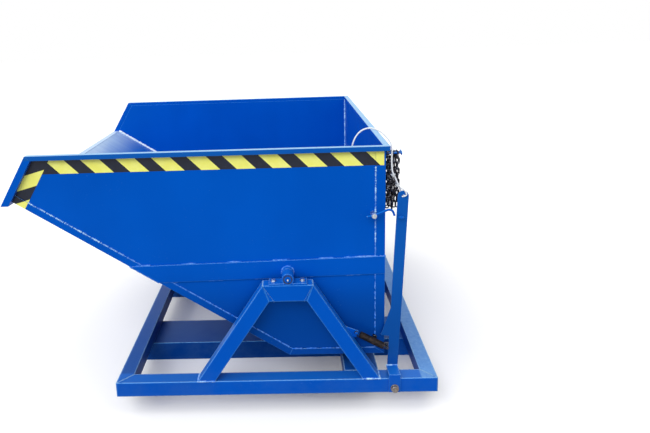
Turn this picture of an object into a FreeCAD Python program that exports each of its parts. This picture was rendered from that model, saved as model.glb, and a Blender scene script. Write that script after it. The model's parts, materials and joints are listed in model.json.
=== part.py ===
# A tipping skip: a steel hopper turns between two A-frames on a tube base with fork pockets.
# Sizes are in millimetres. X runs from the pouring lip to the rear, Y from the near side to
# the far side, and Z up. Everything is drawn about the middle of the base on the floor, and
# moved once, at the end, to the middle of the whole part.
import FreeCAD
import Part
import math
import os

V = FreeCAD.Vector

# Base frame of square tube
base_length = 1490.0
base_width = 1900.0
rail = 70.0
rail_wall = 4.0

# Fork pockets under the frame
pocket_width = 240.0
pocket_height = 100.0
pocket_wall = 6.0
pocket_pitch = 740.0

# Rear tie between the side rails, and the rests that carry the hopper's floor
tie_width = 158.0
tie_wall = 5.0
tie_front = 109.0
post_width = 90.0
post_wall = 5.0
post_pitch = 900.0
rubber_thick = 15.0
rest_gap = 0.3

# Pivot
pivot_x = 70.0
pivot_z = 670.0
pin_diameter = 30.0
bush_diameter = 44.0
housing_diameter = 54.0
run_clearance = 0.05
side_clearance = 0.5
plate_thick = 8.0
plate_length = 170.0
plate_bolt_pitch = 130.0
nipple_length = 12.0
nipple_width = 8.0

# A-frames of square tube
leg_width = 66.0
leg_depth = 60.0
leg_wall = 4.0
top_rail_height = 77.0
frame_top_front_x = -44.0
frame_top_rear_x = 182.0
front_foot_x = -361.0
rear_foot_back = 265.0

# Hopper of folded sheet
skip_gap = 94.0
sheet = 4.0
floor_z = 246.0
floor_front_x = 68.0
rear_back = 232.0
slope_angle = 32.76
slope_flange = 33.0
floor_flange = 30.0
rear_flange = 43.0

# Rim and pouring lip
rim_top = 1247.0
rim_width = 28.0
rim_height = 21.0
rim_reach = 24.0
rear_rim_reach = 17.0
lip_out = 71.0
lip_run = 135.5
lip_fall = 227.0
lip_bar = 31.0
lip_edge_height = 21.0

# Side beams
beam_depth = 84.0
beam_thick = 8.0
beam_over_pivot = 55.4
beam_tilt = 1.15

# Hazard tape
tape_width = 66.0
tape_lip_width = 66.0
tape_drop = 1.0
tape_thick = 0.6
tape_end_gap = 7.0

# Latch lever
lever_behind = 33.0
lever_z = 127.0
lever_width = 48.0
lever_thick = 8.0
lever_length = 895.0
lever_lean = 2.69
lever_bolt_diameter = 20.0
saddle_width = 52.0
saddle_over_rail = 16.0
saddle_foot = 22.0
nose_tip_front = 52.0
nose_tip_z = 350.0
nose_foot_drop = 5.0
nose_top_z = 483.0
tooth_rise = 42.0
tooth_run = 54.0
catch_diameter = 19.0
catch_front = 78.5
catch_z = 335.0

# Fasteners
washer_thick = 3.0
washer_over = 17.0
big_hex = 30.0
big_head = 12.5
big_nut = 16.0
hex_flat_share = 0.94
hex_run = 1.73
small_bolt = 12.0
small_hex = 19.0
small_head = 7.5
bolt_clearance = 0.3
thread_end = 3.0

# Return spring between the rear leg and the lever
spring_wire = 4.0
spring_outside = 32.0
spring_turns = 27
spring_pitch = 4.55
spring_start_behind = 38.4
spring_start_z = 369.0
spring_end_front = 42.0
spring_end_z = 306.0
spring_y_gap = 4.5
spring_lead = 14.0
stud_diameter = 8.0
stud_head = 12.0
stud_head_thick = 3.0
lug_thick = 6.0
lug_height = 57.0
lug_reach = 10.0
lever_lug_height = 24.0

# Safety hook on the hopper and its eye on the lever
hook_rod = 10.0
hook_front = 55.0
hook_z = 939.0
hook_sleeve = 22.0
hook_bolt_diameter = 12.0
hook_reach = 84.0
hook_drop = 31.0
hook_bend = 14.0
hook_tail = 20.0
hook_out = 39.0
hook_raise = 19.0
eye_wire = 6.0
eye_hole = 14.0
eye_behind = 31.0
eye_z = 928.0

# Release rope
rope = 7.0
rope_hole = 13.0
eye_straight = 5.0
rope_gap = 0.6
clip_first = 58.7
clip_second = 108.3
clip_length = 14.0
clip_wall = 4.0
clip_gap = 0.4
clip_bolt = 4.0
clip_nut = 7.0
clip_nut_height = 3.5
rope_tail = 12.0
rope_start_gap = 1.5
rope_rise = 116.0
coil_loops = 3
coil_pitch = 7.8
coil_mean = 39.0
coil_front = 263.0
coil_inset = 121.0
coil_lift = 0.5
ferrule_diameter = 13.0
ferrule_length = 26.0
ring_wire = 6.0
ring_inside = 44.0

# Route of the free rope: behind the rear wall, outside the side wall, and height. The first two
# heights are above the rope's start, the next six above the rim, and the rest are shares of the
# way from the hopper's floor to the rim.
rope_rising = [(23.0, 14.8, 32.0), (25.5, 10.0, 76.0)]
rope_over = [(25.0, 5.5, 3.0), (6.0, 1.5, 34.0), (-25.0, -4.0, 63.5), (-69.0, -10.5, 79.5),
             (-112.0, -17.0, 62.5), (-139.0, -22.0, 20.0)]
rope_down_shares = [(-150.0, -24.0, 0.959), (-154.0, -28.0, 0.875), (-161.0, -34.0, 0.782),
                    (-158.0, -41.0, 0.686), (-165.0, -38.0, 0.588), (-163.0, -45.0, 0.49),
                    (-171.0, -49.0, 0.389), (-169.0, -55.0, 0.291), (-176.0, -50.0, 0.199),
                    (-185.0, -44.0, 0.124), (-197.0, -39.0, 0.068), (-209.0, -44.0, 0.026)]

# Safety chain hanging on the rear wall
link_wire = 6.0
link_inside_length = 26.0
link_inside_width = 10.0
link_gap = 0.3
strand_links = 10
strand_short = 2
strand_pitch = 22.5
strands = 3
back_strands = 2
row_gap = 24.0
hanger_rod = 8.0
hanger_head = 20.0
hanger_head_thick = 4.0
hanger_stand = 14.0
hanger_drop = 25.0
hanger_inset = 44.0
snap_wire = 7.0
snap_length = 46.0

# One overrun for every cut
cut_over = 20.0

# Places that follow from the sizes
half_base = base_length / 2
half_width = base_width / 2
rail_top = pocket_height + rail
half_skip = half_width - skip_gap
rear_x = half_base - rear_back
tie_x = rear_x - tie_front
rear_foot_x = half_base - rear_foot_back
lip_foot_z = rim_top - lip_fall
slope_run = math.tan(math.radians(slope_angle))
lip_foot_x = floor_front_x - (lip_foot_z - floor_z) / slope_run - lip_out
lip_top_x = lip_foot_x + lip_run
lever_x = rear_x + lever_behind
nose_tip_x = lever_x - nose_tip_front
catch_x = lever_x - catch_front
spring_end_x = lever_x - spring_end_front
hook_x = rear_x - hook_front
eye_x = lever_x + eye_behind
coil_x = rear_x - coil_front
coil_y = -half_skip + coil_inset
hanger_y = -half_skip + hanger_inset
flange_face = half_skip + sheet
beam_face = half_skip + beam_thick
frame_inner = half_width - leg_depth
frame_top = pivot_z - housing_diameter / 2
rim_outer = half_skip + rim_reach
rim_inner = rim_outer - rim_width
rim_bottom = rim_top - rim_height
hanger_z = rim_bottom - hanger_drop
bar_outer = half_width - rail - side_clearance
bar_inner = bar_outer - lever_thick
tooth_inner = bar_inner - lever_thick
cheek_outer = half_width + side_clearance + lever_thick


def xz(x, z, y=0.0):
    """A point given in the side view."""
    return V(x, y, z)


def prism(points, y0, y1):
    """A side-view outline, drawn out across the skip from y0 to y1."""
    ring = [V(x, y0, z) for x, z in points]
    face = Part.Face(Part.makePolygon(ring + [ring[0]]))
    return face.extrude(V(0, y1 - y0, 0))


def box(x0, x1, y0, y1, z0, z1):
    return Part.makeBox(x1 - x0, y1 - y0, z1 - z0, V(x0, y0, z0))


def rod(a, b, diameter):
    """A round bar from a to b."""
    way = b - a
    return Part.makeCylinder(diameter / 2, way.Length, a, way)


def across(x, z, y0, y1, diameter):
    """A round bar across the skip, at one place of the side view."""
    return rod(V(x, y0, z), V(x, y1, z), diameter)


def hexagon(centre, way, flats, height):
    """A hexagon head or nut that stands on centre and points along way, with its corners taken off."""
    head = Part.Face(Part.makePolygon(hexagon_points(flats))).extrude(V(0, 0, height))
    crown = flats / 2 * hex_flat_share
    head = head.common(Part.makeCone(crown + height * hex_run, crown, height))
    head.Placement = FreeCAD.Placement(centre, FreeCAD.Rotation(V(0, 0, 1), way))
    return head


def hexagon_points(flats):
    reach = flats / 2 / math.cos(math.pi / 6)
    turns = [math.pi / 3 * k for k in range(7)]
    return [V(reach * math.cos(a), reach * math.sin(a), 0) for a in turns]


def far_side(shape):
    """The same piece on the other side of the skip."""
    return shape.mirror(V(0, 0, 0), V(0, 1, 0))


def line_at_z(a, b, z):
    """X where the line through two side-view points has height z."""
    return a[0] + (b[0] - a[0]) * (z - a[1]) / (b[1] - a[1])


def line_at_x(a, b, x):
    """Height where the line through two side-view points has place x."""
    return a[1] + (b[1] - a[1]) * (x - a[0]) / (b[0] - a[0])


def beside(a, b, step):
    """The side-view line through a and b, moved sideways by step to its left."""
    run = math.hypot(b[0] - a[0], b[1] - a[1])
    dx, dz = -(b[1] - a[1]) / run * step, (b[0] - a[0]) / run * step
    return (a[0] + dx, a[1] + dz), (b[0] + dx, b[1] + dz)


def meet(first, second):
    """The side-view point where two lines meet."""
    (x1, z1), (x2, z2) = first
    (x3, z3), (x4, z4) = second
    bottom = (x1 - x2) * (z3 - z4) - (z1 - z2) * (x3 - x4)
    one, two = x1 * z2 - z1 * x2, x3 * z4 - z3 * x4
    return ((one * (x3 - x4) - (x1 - x2) * two) / bottom,
            (one * (z3 - z4) - (z1 - z2) * two) / bottom)


def tube_bar(outer, inner, y0, y1, wall):
    """A square tube between an outer and an inner side-view line, open at both cut ends."""
    solid = prism([outer[0], outer[1], inner[1], inner[0]], y0, y1)
    (ax, az), (bx, bz) = outer
    run = math.hypot(bx - ax, bz - az)
    ux, uz = (bx - ax) / run, (bz - az) / run
    reach = 2 * run
    side = meet_side(outer, inner)
    first = beside(outer[0], outer[1], side * wall)
    second = beside(inner[0], inner[1], -side * wall)
    long_first = ((first[0][0] - ux * reach, first[0][1] - uz * reach),
                  (first[1][0] + ux * reach, first[1][1] + uz * reach))
    long_second = ((second[0][0] - ux * reach, second[0][1] - uz * reach),
                   (second[1][0] + ux * reach, second[1][1] + uz * reach))
    hollow = prism([long_first[0], long_first[1], long_second[1], long_second[0]],
                   y0 + wall, y1 - wall)
    return solid.cut(hollow)


def meet_side(outer, inner):
    """1 if the inner line lies to the left of the outer one, and -1 if to its right."""
    (ax, az), (bx, bz) = outer
    cx, cz = inner[0]
    return 1 if (bx - ax) * (cz - az) - (bz - az) * (cx - ax) > 0 else -1


def arc_edge(a, corner, b):
    """The arc from a to b that is tangent to both lines through the corner."""
    middle = (a + b) / 2
    share = (a - middle).Length / (a - corner).Length
    top = (middle + corner * share) / (1 + share)
    return Part.Arc(a, top, b).toShape()


def biarc_edges(p, way_p, q, way_q):
    """Two arcs that join two points along their two directions."""
    gap, both = q - p, way_p + way_q
    bend = 2 * (1 - way_p.dot(way_q))
    along = gap.dot(both)
    step = gap.dot(gap) / (along + math.sqrt(along * along + bend * gap.dot(gap)))
    first, second = p + way_p * step, q - way_q * step
    middle = (first + second) / 2
    return [arc_edge(p, first, middle), arc_edge(middle, second, q)]


def tube(edges, diameter):
    """One unbroken round tube along a run of joined edges."""
    start = edges[0].valueAt(edges[0].FirstParameter)
    way = edges[0].tangentAt(edges[0].FirstParameter)
    section = Part.Wire([Part.Circle(start, way, diameter / 2).toShape()])
    return Part.Wire(edges).makePipeShell([section], True, False)


def route(points, tight_share=0.45):
    """Straight runs joined by tangent arcs, each as large as its two runs allow."""
    edges, radii, here = [], [], points[0]
    for before, corner, after in zip(points, points[1:], points[2:]):
        back, on = before - corner, after - corner
        turn = math.pi - back.getAngle(on)
        reach = tight_share * min(back.Length, on.Length)
        radii.append(reach / math.tan(turn / 2))
        a = corner + back.normalize() * reach
        b = corner + on.normalize() * reach
        edges.append(Part.LineSegment(here, a).toShape())
        edges.append(arc_edge(a, corner, b))
        here = b
    edges.append(Part.LineSegment(here, points[-1]).toShape())
    return edges, radii


def least_gap(edges, diameter, apart):
    """The least gap of a tube to itself, on points that lie more than apart along it."""
    places, along, run = [], [], 0.0
    for edge in edges:
        steps = max(2, int(edge.Length / diameter * 3))
        for point in edge.discretize(steps)[:-1]:
            places.append(point)
            along.append(run)
            run += edge.Length / (steps - 1)
    best = None
    for i, p in enumerate(places):
        for j in range(i + 1, len(places)):
            if along[j] - along[i] > apart:
                d = (p - places[j]).Length
                best = d if best is None else min(best, d)
    return best - diameter


def clear_volume(name, shape, edges, diameter):
    """Compare a tube's volume with its section times its length."""
    length = sum(edge.Length for edge in edges)
    want = math.pi * diameter * diameter / 4 * length
    print(name, "length", round(length, 1), "volume share", round(shape.Volume / want, 5))


nodes = {}

# Base rails: one hollow picture frame, mitred into four pieces
ring_hollow = box(-half_base + rail_wall, half_base - rail_wall, -half_width + rail_wall,
                  half_width - rail_wall, pocket_height + rail_wall, rail_top - rail_wall)
ring_hollow = ring_hollow.cut(box(-half_base + rail - rail_wall, half_base - rail + rail_wall,
                                  -half_width + rail - rail_wall, half_width - rail + rail_wall,
                                  pocket_height, rail_top))
ring = box(-half_base, half_base, -half_width, half_width, pocket_height, rail_top)
ring = ring.cut(box(-half_base + rail, half_base - rail, -half_width + rail, half_width - rail,
                    pocket_height - cut_over, rail_top + cut_over)).cut(ring_hollow)


def mitred(corners):
    """The share of the ring that lies over one trapezium of the plan view."""
    points = [V(x, y, pocket_height) for x, y in corners]
    face = Part.Face(Part.makePolygon(points + [points[0]]))
    return ring.common(face.extrude(V(0, 0, rail)))


outer_corners = [(-half_base, -half_width), (half_base, -half_width),
                 (half_base, half_width), (-half_base, half_width)]
inner_corners = [(x - math.copysign(rail, x), y - math.copysign(rail, y)) for x, y in outer_corners]
rail_names = ["side_rail_near", "rear_rail", "side_rail_far", "front_rail"]
for k, name in enumerate(rail_names):
    n = (k + 1) % 4
    nodes[name] = mitred([outer_corners[k], outer_corners[n], inner_corners[n], inner_corners[k]])

# Fork pockets: two rectangular tubes, open at both ends
for name, side in (("fork_pocket_near", -1), ("fork_pocket_far", 1)):
    y = side * pocket_pitch / 2
    half = pocket_width / 2
    solid = box(-half_base, half_base, y - half, y + half, 0, pocket_height)
    bore = box(-half_base - cut_over, half_base + cut_over, y - half + pocket_wall,
               y + half - pocket_wall, pocket_wall, pocket_height - pocket_wall)
    nodes[name] = solid.cut(bore)

# Rear tie: a flat rectangular tube between the side rails
tie_end = half_width - rail
tie = box(tie_x - tie_width / 2, tie_x + tie_width / 2, -tie_end, tie_end, pocket_height, rail_top)
tie = tie.cut(box(tie_x - tie_width / 2 + tie_wall, tie_x + tie_width / 2 - tie_wall,
                  -tie_end - cut_over, tie_end + cut_over, pocket_height + tie_wall,
                  rail_top - tie_wall))
nodes["rear_tie"] = tie

# Rests: two short posts with rubber pads on the rear tie
post_top = floor_z - rest_gap - rubber_thick
posts, rubbers = [], []
for side in (-1, 1):
    y = side * post_pitch / 2
    half = post_width / 2
    post = box(tie_x - half, tie_x + half, y - half, y + half, rail_top, post_top)
    inner = half - post_wall
    post = post.cut(box(tie_x - inner, tie_x + inner, y - inner, y + inner,
                        rail_top - cut_over, post_top - post_wall))
    posts.append(post)
    rubbers.append(box(tie_x - inner, tie_x + inner, y - inner, y + inner,
                       post_top, floor_z - rest_gap))
nodes["rest_posts"] = Part.makeCompound(posts)
nodes["rest_pads"] = Part.makeCompound(rubbers)

# A-frames: two legs and a top rail of square tube, mitred at the top
front_outer = ((front_foot_x, rail_top), (frame_top_front_x, frame_top))
rear_outer = ((rear_foot_x, rail_top), (frame_top_rear_x, frame_top))
front_inner = beside(front_outer[0], front_outer[1], -leg_width)
rear_inner = beside(rear_outer[0], rear_outer[1], leg_width)
top_under = frame_top - top_rail_height


def leg_inner(line):
    """The inner line of a leg, from the rail's top to the top rail's underside."""
    return ((line_at_z(line[0], line[1], rail_top), rail_top),
            (line_at_z(line[0], line[1], top_under), top_under))


front_inner, rear_inner = leg_inner(front_inner), leg_inner(rear_inner)
leg_front = tube_bar(front_outer, front_inner, -half_width, -frame_inner, leg_wall)
leg_rear = tube_bar(rear_outer, rear_inner, -half_width, -frame_inner, leg_wall)
top_rail = tube_bar((front_outer[1], rear_outer[1]), (front_inner[1], rear_inner[1]),
                    -half_width, -frame_inner, leg_wall)

# Bearings: a housing and a foot plate on each top rail, with two bolts
plate_top = frame_top + plate_thick
bolt_y = half_width - leg_depth / 2
bolt_places = [pivot_x - plate_bolt_pitch / 2, pivot_x + plate_bolt_pitch / 2]
bearing = box(pivot_x - plate_length / 2, pivot_x + plate_length / 2, -half_width, -frame_inner,
              frame_top, plate_top)
bearing = bearing.fuse(across(pivot_x, pivot_z, -half_width, -frame_inner, housing_diameter))
bearing = bearing.cut(across(pivot_x, pivot_z, -half_width - cut_over, -frame_inner + cut_over,
                             bush_diameter))
bush = across(pivot_x, pivot_z, -half_width, -frame_inner, bush_diameter)
bush = bush.cut(across(pivot_x, pivot_z, -half_width - cut_over, -frame_inner + cut_over,
                       pin_diameter + 2 * run_clearance))
bolts = []
for x in bolt_places:
    hole = rod(xz(x, frame_top - leg_wall - cut_over, -bolt_y), xz(x, plate_top + cut_over, -bolt_y),
               small_bolt + 2 * bolt_clearance)
    bearing = bearing.cut(hole)
    top_rail = top_rail.cut(rod(xz(x, frame_top - leg_wall - cut_over, -bolt_y),
                                xz(x, frame_top + cut_over, -bolt_y),
                                small_bolt + 2 * run_clearance))
    shank = rod(xz(x, frame_top - leg_wall - thread_end, -bolt_y),
                xz(x, plate_top + washer_thick, -bolt_y), small_bolt)
    washer = rod(xz(x, plate_top, -bolt_y), xz(x, plate_top + washer_thick, -bolt_y),
                 2 * small_bolt)
    head = hexagon(xz(x, plate_top + washer_thick, -bolt_y), V(0, 0, 1), small_hex, small_head)
    bolts.append(shank.fuse([washer, head]).removeSplitter())
for name, shape in (("leg_front", leg_front), ("leg_rear", leg_rear), ("top_rail", top_rail),
                    ("bearing", bearing.removeSplitter()), ("bush", bush)):
    nodes[name + "_near"] = shape
    nodes[name + "_far"] = far_side(shape)
nodes["bearing_bolts"] = Part.makeCompound(bolts + [far_side(bolt) for bolt in bolts])

# Hopper profile: slope, floor and rear sheet seen from the side
lip_outer = ((lip_foot_x, lip_foot_z), (lip_top_x, rim_top))
lip_inner = beside(lip_outer[0], lip_outer[1], -lip_bar)
front_bottom = (floor_front_x, floor_z)
slope_line = (front_bottom, (floor_front_x - floor_z / slope_run, floor_z + floor_z))
floor_line = ((rear_x, floor_z), front_bottom)
rear_line = ((rear_x, rim_bottom), (rear_x, floor_z))


def profile(slope_step, floor_step, rear_step):
    """The hopper's corners, with each sheet's line moved inwards by its own step."""
    slope = beside(slope_line[0], slope_line[1], -slope_step)
    floor = beside(floor_line[0], floor_line[1], -floor_step)
    rear = beside(rear_line[0], rear_line[1], -rear_step)
    return [meet(slope, lip_inner), meet(slope, floor), meet(floor, rear),
            (rear[0][0], rim_bottom)]


outside = profile(0, 0, 0)
inside = profile(sheet, sheet, sheet)
seam = profile(slope_flange, floor_flange, rear_flange)


def folded(k):
    """A sheet of the hopper with the flanges that it folds round the side walls."""
    strip = [outside[k], outside[k + 1], inside[k + 1], inside[k]]
    flange = [outside[k], outside[k + 1], seam[k + 1], seam[k]]
    panel = prism(strip, -half_skip, half_skip)
    turned = prism(flange, -flange_face, -half_skip)
    return panel.fuse([turned, far_side(turned)]).removeSplitter()


nodes["slope_plate"] = folded(0)
nodes["floor_plate"] = folded(1)
nodes["rear_wall"] = folded(2)
lip_under_rim = meet(lip_inner, ((0, rim_bottom), (rear_x, rim_bottom)))
side_wall = prism(inside + [lip_under_rim], -half_skip, -half_skip + sheet)
nodes["side_wall_near"] = side_wall
nodes["side_wall_far"] = far_side(side_wall)

# Rim: flat bars round the top, mitred at the rear corners and at the lip
rear_rim_x = rear_x + rear_rim_reach
rim_side = prism([(lip_top_x, rim_top), (rear_rim_x, rim_top), (rear_rim_x, rim_bottom),
                  lip_under_rim], -rim_outer, -rim_inner)
corner = [V(rear_rim_x, -rim_outer, rim_bottom), V(rear_rim_x, -rim_inner, rim_bottom),
          V(rear_rim_x - rim_width, -rim_inner, rim_bottom)]
mitre = Part.Face(Part.makePolygon(corner + [corner[0]])).extrude(V(0, 0, rim_height))
rim_side = rim_side.cut(mitre)
rim_rear = box(rear_rim_x - rim_width, rear_rim_x, -rim_outer, rim_outer, rim_bottom, rim_top)
rim_rear = rim_rear.cut([rim_side, far_side(rim_side)])
nodes["rim_near"] = rim_side
nodes["rim_far"] = far_side(rim_side)
nodes["rim_rear"] = rim_rear
lip_inner_foot = (line_at_z(lip_inner[0], lip_inner[1], lip_foot_z), lip_foot_z)
lip_side = prism([lip_outer[0], lip_outer[1], lip_under_rim, lip_inner_foot],
                 -rim_outer, -rim_inner)
nodes["lip_bar_near"] = lip_side
nodes["lip_bar_far"] = far_side(lip_side)
edge_top = lip_foot_z + lip_edge_height
nodes["lip_edge"] = prism([lip_outer[0], (line_at_z(lip_outer[0], lip_outer[1], edge_top), edge_top),
                           (line_at_z(lip_inner[0], lip_inner[1], edge_top), edge_top),
                           lip_inner_foot], -rim_inner, rim_inner)

# Side beams: flat plates on the side walls at the height of the pivot
rise = math.tan(math.radians(beam_tilt))
beam_top_z = pivot_z + beam_over_pivot
beam_top = ((pivot_x, beam_top_z), (rear_x, beam_top_z + rise * (rear_x - pivot_x)))
beam_low = beside(beam_top[0], beam_top[1], -beam_depth)
slope_outer = (outside[0], outside[1])
beam_outline = [meet(beam_top, slope_outer), beam_top[1],
                (rear_x, line_at_x(beam_low[0], beam_low[1], rear_x)), meet(beam_low, slope_outer)]
beam = prism(beam_outline, -beam_face, -half_skip)
beam = beam.cut([nodes["slope_plate"], nodes["rear_wall"]])
nodes["side_beam_near"] = beam
nodes["side_beam_far"] = far_side(beam)

# Trunnions: a collar on the side beam and a pin through the bearing, with a grease nipple
pin_end = half_width - side_clearance
collar_end = frame_inner - side_clearance
trunnion = across(pivot_x, pivot_z, -pin_end, -beam_face, pin_diameter)
trunnion = trunnion.fuse(across(pivot_x, pivot_z, -collar_end, -beam_face, housing_diameter))
nodes["trunnion_near"] = trunnion.removeSplitter()
nodes["trunnion_far"] = far_side(nodes["trunnion_near"])
nipple = across(pivot_x, pivot_z, -pin_end - nipple_length / 2, -pin_end, nipple_width)
nipple_ball = Part.makeCone(nipple_width / 4, nipple_width / 3, nipple_length / 2,
                            V(pivot_x, -pin_end - nipple_length / 2, pivot_z), V(0, -1, 0))
nipple = nipple.fuse(nipple_ball)
nodes["grease_nipples"] = Part.makeCompound([nipple, far_side(nipple)])

# Hazard tape: one strip under the rim and one along the lip, on both sides
tape_top = rim_bottom - tape_drop
tape_bottom = tape_top - tape_width
tape_inner = beside(lip_inner[0], lip_inner[1], -tape_lip_width)
tape_rear_x = rear_x - tape_end_gap
tape_corner = meet(tape_inner, ((0, tape_bottom), (rear_x, tape_bottom)))
tape_side = [(line_at_z(lip_inner[0], lip_inner[1], tape_top), tape_top), (tape_rear_x, tape_top),
             (tape_rear_x, tape_bottom), tape_corner,
             (line_at_z(lip_inner[0], lip_inner[1], tape_bottom), tape_bottom)]
tape_lip = [(line_at_z(lip_inner[0], lip_inner[1], tape_bottom), tape_bottom), tape_corner,
            meet(tape_inner, slope_outer), outside[0]]
tape_cut = [nodes["slope_plate"], nodes["rear_wall"]]
flat_tape = prism(tape_side, -half_skip - tape_thick, -half_skip)
flat_lip = prism(tape_lip, -half_skip - tape_thick, -half_skip)
flange_zone = prism([outside[0], outside[1], seam[1], seam[0]], -flange_face - tape_thick,
                    -flange_face)
raised_lip = prism(tape_lip, -flange_face - tape_thick, -flange_face).common(flange_zone)
rear_zone = prism([outside[2], outside[3], seam[3], seam[2]], -flange_face - tape_thick,
                  -flange_face)
raised_side = prism(tape_side, -flange_face - tape_thick, -flange_face).common(rear_zone)
tape_pieces = [flat_tape.fuse(flat_lip).removeSplitter().cut(tape_cut), raised_lip, raised_side]
tape_solids = [solid for piece in tape_pieces for solid in piece.Solids]
nodes["hazard_tape_near"] = Part.makeCompound(tape_solids)
nodes["hazard_tape_far"] = Part.makeCompound([far_side(solid) for solid in tape_solids])

# Latch lever: a flat bar inside the side rail, a saddle over the rail, a nose and a tooth
lean = math.radians(lever_lean)
lever_way = (math.sin(lean), math.cos(lean))
lever_top = (lever_x + lever_length * lever_way[0], lever_z + lever_length * lever_way[1])


def on_lever(along, aside=0.0):
    """A side-view point along the lever from its bolt, and aside towards the rear."""
    return (lever_x + along * lever_way[0] + aside * lever_way[1],
            lever_z + along * lever_way[1] - aside * lever_way[0])


def lever_front_x(z):
    """X of the lever's front edge at a height."""
    return line_at_z(on_lever(0, -lever_width / 2), on_lever(lever_length, -lever_width / 2), z)


half_lever = lever_width / 2
bar = prism([on_lever(0, -half_lever), on_lever(lever_length, -half_lever),
             on_lever(lever_length, half_lever), on_lever(0, half_lever)], -bar_outer, -bar_inner)
nose_foot_z = nose_tip_z - nose_foot_drop
nose = prism([(lever_front_x(nose_top_z), nose_top_z), on_lever(nose_top_z - lever_z),
              on_lever(nose_foot_z - lever_z), (lever_front_x(nose_foot_z), nose_foot_z),
              (nose_tip_x, nose_tip_z)], -bar_outer, -bar_inner)
bar = bar.fuse([across(lever_x, lever_z, -bar_outer, -bar_inner, lever_width),
                across(lever_top[0], lever_top[1], -bar_outer, -bar_inner, lever_width), nose])
bolt_bore = lever_bolt_diameter + 2 * run_clearance
bar = bar.cut([across(lever_x, lever_z, -bar_outer - cut_over, -bar_inner + cut_over, bolt_bore),
               across(lever_top[0], lever_top[1], -bar_outer - cut_over, -bar_inner + cut_over,
                      rope_hole)])
nodes["lever_bar"] = bar.removeSplitter()
tooth_top = (nose_tip_x + tooth_run, nose_tip_z + tooth_rise)
nodes["lever_tooth"] = prism([(nose_tip_x, nose_tip_z), tooth_top,
                              (tooth_top[0], nose_foot_z),
                              (lever_front_x(nose_foot_z), nose_foot_z)],
                             -bar_inner, -tooth_inner)
saddle_top = rail_top + saddle_over_rail + lever_thick
cheek_y = half_width + side_clearance
saddle = box(lever_x - saddle_width / 2, lever_x + saddle_width / 2, -cheek_outer, -cheek_y,
             lever_z - saddle_foot, saddle_top)
saddle = saddle.fuse(box(lever_x - saddle_width / 2, lever_x + saddle_width / 2, -cheek_outer,
                         -bar_outer, saddle_top - lever_thick, saddle_top))
saddle = saddle.cut(across(lever_x, lever_z, -cheek_outer - cut_over, -cheek_y + rail / 2,
                           bolt_bore))
nodes["lever_saddle"] = saddle.removeSplitter()

# Latch bolt through the rail, with its head outside and its nut inside
head_face = cheek_outer + bolt_clearance + washer_thick
nut_face = bar_inner - bolt_clearance - washer_thick
washer_diameter = lever_bolt_diameter + washer_over
latch_bolt = across(lever_x, lever_z, -head_face, -nut_face + big_nut + thread_end,
                    lever_bolt_diameter)
latch_bolt = latch_bolt.fuse([
    hexagon(V(lever_x, -head_face, lever_z), V(0, -1, 0), big_hex, big_head),
    across(lever_x, lever_z, -head_face, -head_face + washer_thick, washer_diameter)])
nodes["latch_bolt"] = latch_bolt.removeSplitter()
latch_nut = hexagon(V(lever_x, -nut_face, lever_z), V(0, 1, 0), big_hex, big_nut)
latch_nut = latch_nut.fuse(across(lever_x, lever_z, -nut_face - washer_thick, -nut_face,
                                  washer_diameter))
latch_nut = latch_nut.cut(across(lever_x, lever_z, -nut_face - cut_over, -nut_face + cut_over,
                                 lever_bolt_diameter))
nodes["latch_nut"] = latch_nut.removeSplitter()
nodes["side_rail_near"] = nodes["side_rail_near"].cut(
    across(lever_x, lever_z, -half_width - cut_over, -half_width + rail + cut_over, bolt_bore))

# Catch pin on the side wall, under the tooth
catch_end = bar_inner - side_clearance - side_clearance
catch = across(catch_x, catch_z, -catch_end, -half_skip, catch_diameter)
nodes["catch_pin"] = catch.cut(nodes["rear_wall"])

# Return spring: closed turns between a lug on the rear leg and a stud on the lever
spring_y = -(bar_outer + spring_y_gap + spring_outside / 2)
leg_at_spring = line_at_z(rear_outer[0], rear_outer[1], spring_start_z)
spring_start = xz(leg_at_spring + spring_start_behind, spring_start_z, spring_y)
spring_end = xz(spring_end_x, spring_end_z, spring_y)
spring_way = (spring_end - spring_start).normalize()
spring_radius = (spring_outside - spring_wire) / 2
loop_radius = stud_diameter / 2 + spring_wire / 2 + bolt_clearance
side_way = V(0, 1, 0)
up_way = side_way.cross(spring_way)
spring_middle = (spring_start + spring_end) / 2
coil_half = spring_turns * spring_pitch / 2


def spring_point(turn):
    """A point of the spring's turns and the direction of its wire there."""
    a = 2 * math.pi * turn
    rim = up_way * math.cos(a) + side_way * math.sin(a)
    along = spring_way * (spring_pitch * turn - coil_half)
    round_way = side_way * math.cos(a) - up_way * math.sin(a)
    way = round_way * (2 * math.pi * spring_radius) + spring_way * spring_pitch
    return spring_middle + along + rim * spring_radius, way.normalize()


def spring_hook(sign):
    """A three-quarter loop round a stud at one end, and the stud's centre."""
    centre = spring_middle + spring_way * sign * (coil_half + spring_lead + loop_radius)
    steps = [math.pi / 2 * k for k in range(4)]
    places = []
    for a in steps:
        out = up_way * math.cos(a) + spring_way * sign * math.sin(a)
        way = spring_way * sign * math.cos(a) - up_way * math.sin(a)
        places.append((centre + out * loop_radius, way))
    return centre, places


def chain_of(places):
    """Joined arcs through places that each have a direction."""
    edges = []
    for (p, way_p), (q, way_q) in zip(places, places[1:]):
        edges += biarc_edges(p, way_p, q, way_q)
    return edges


turns = [spring_point(k / 4) for k in range(spring_turns * 4 + 1)]
lever_stud, last_loop = spring_hook(1)
leg_stud, first_loop = spring_hook(-1)
last_edges = chain_of([turns[-1]] + last_loop)
first_places = [(p, way * -1) for p, way in reversed(first_loop)]
first_edges = chain_of(first_places + [turns[0]])
spring_edges = first_edges + chain_of(turns) + last_edges
spring = tube(spring_edges, spring_wire)
nodes["latch_spring"] = spring
clear_volume("latch_spring", spring, spring_edges, spring_wire)
print("latch_spring least gap", round(least_gap(chain_of(turns), spring_wire, spring_outside), 3))

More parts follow.
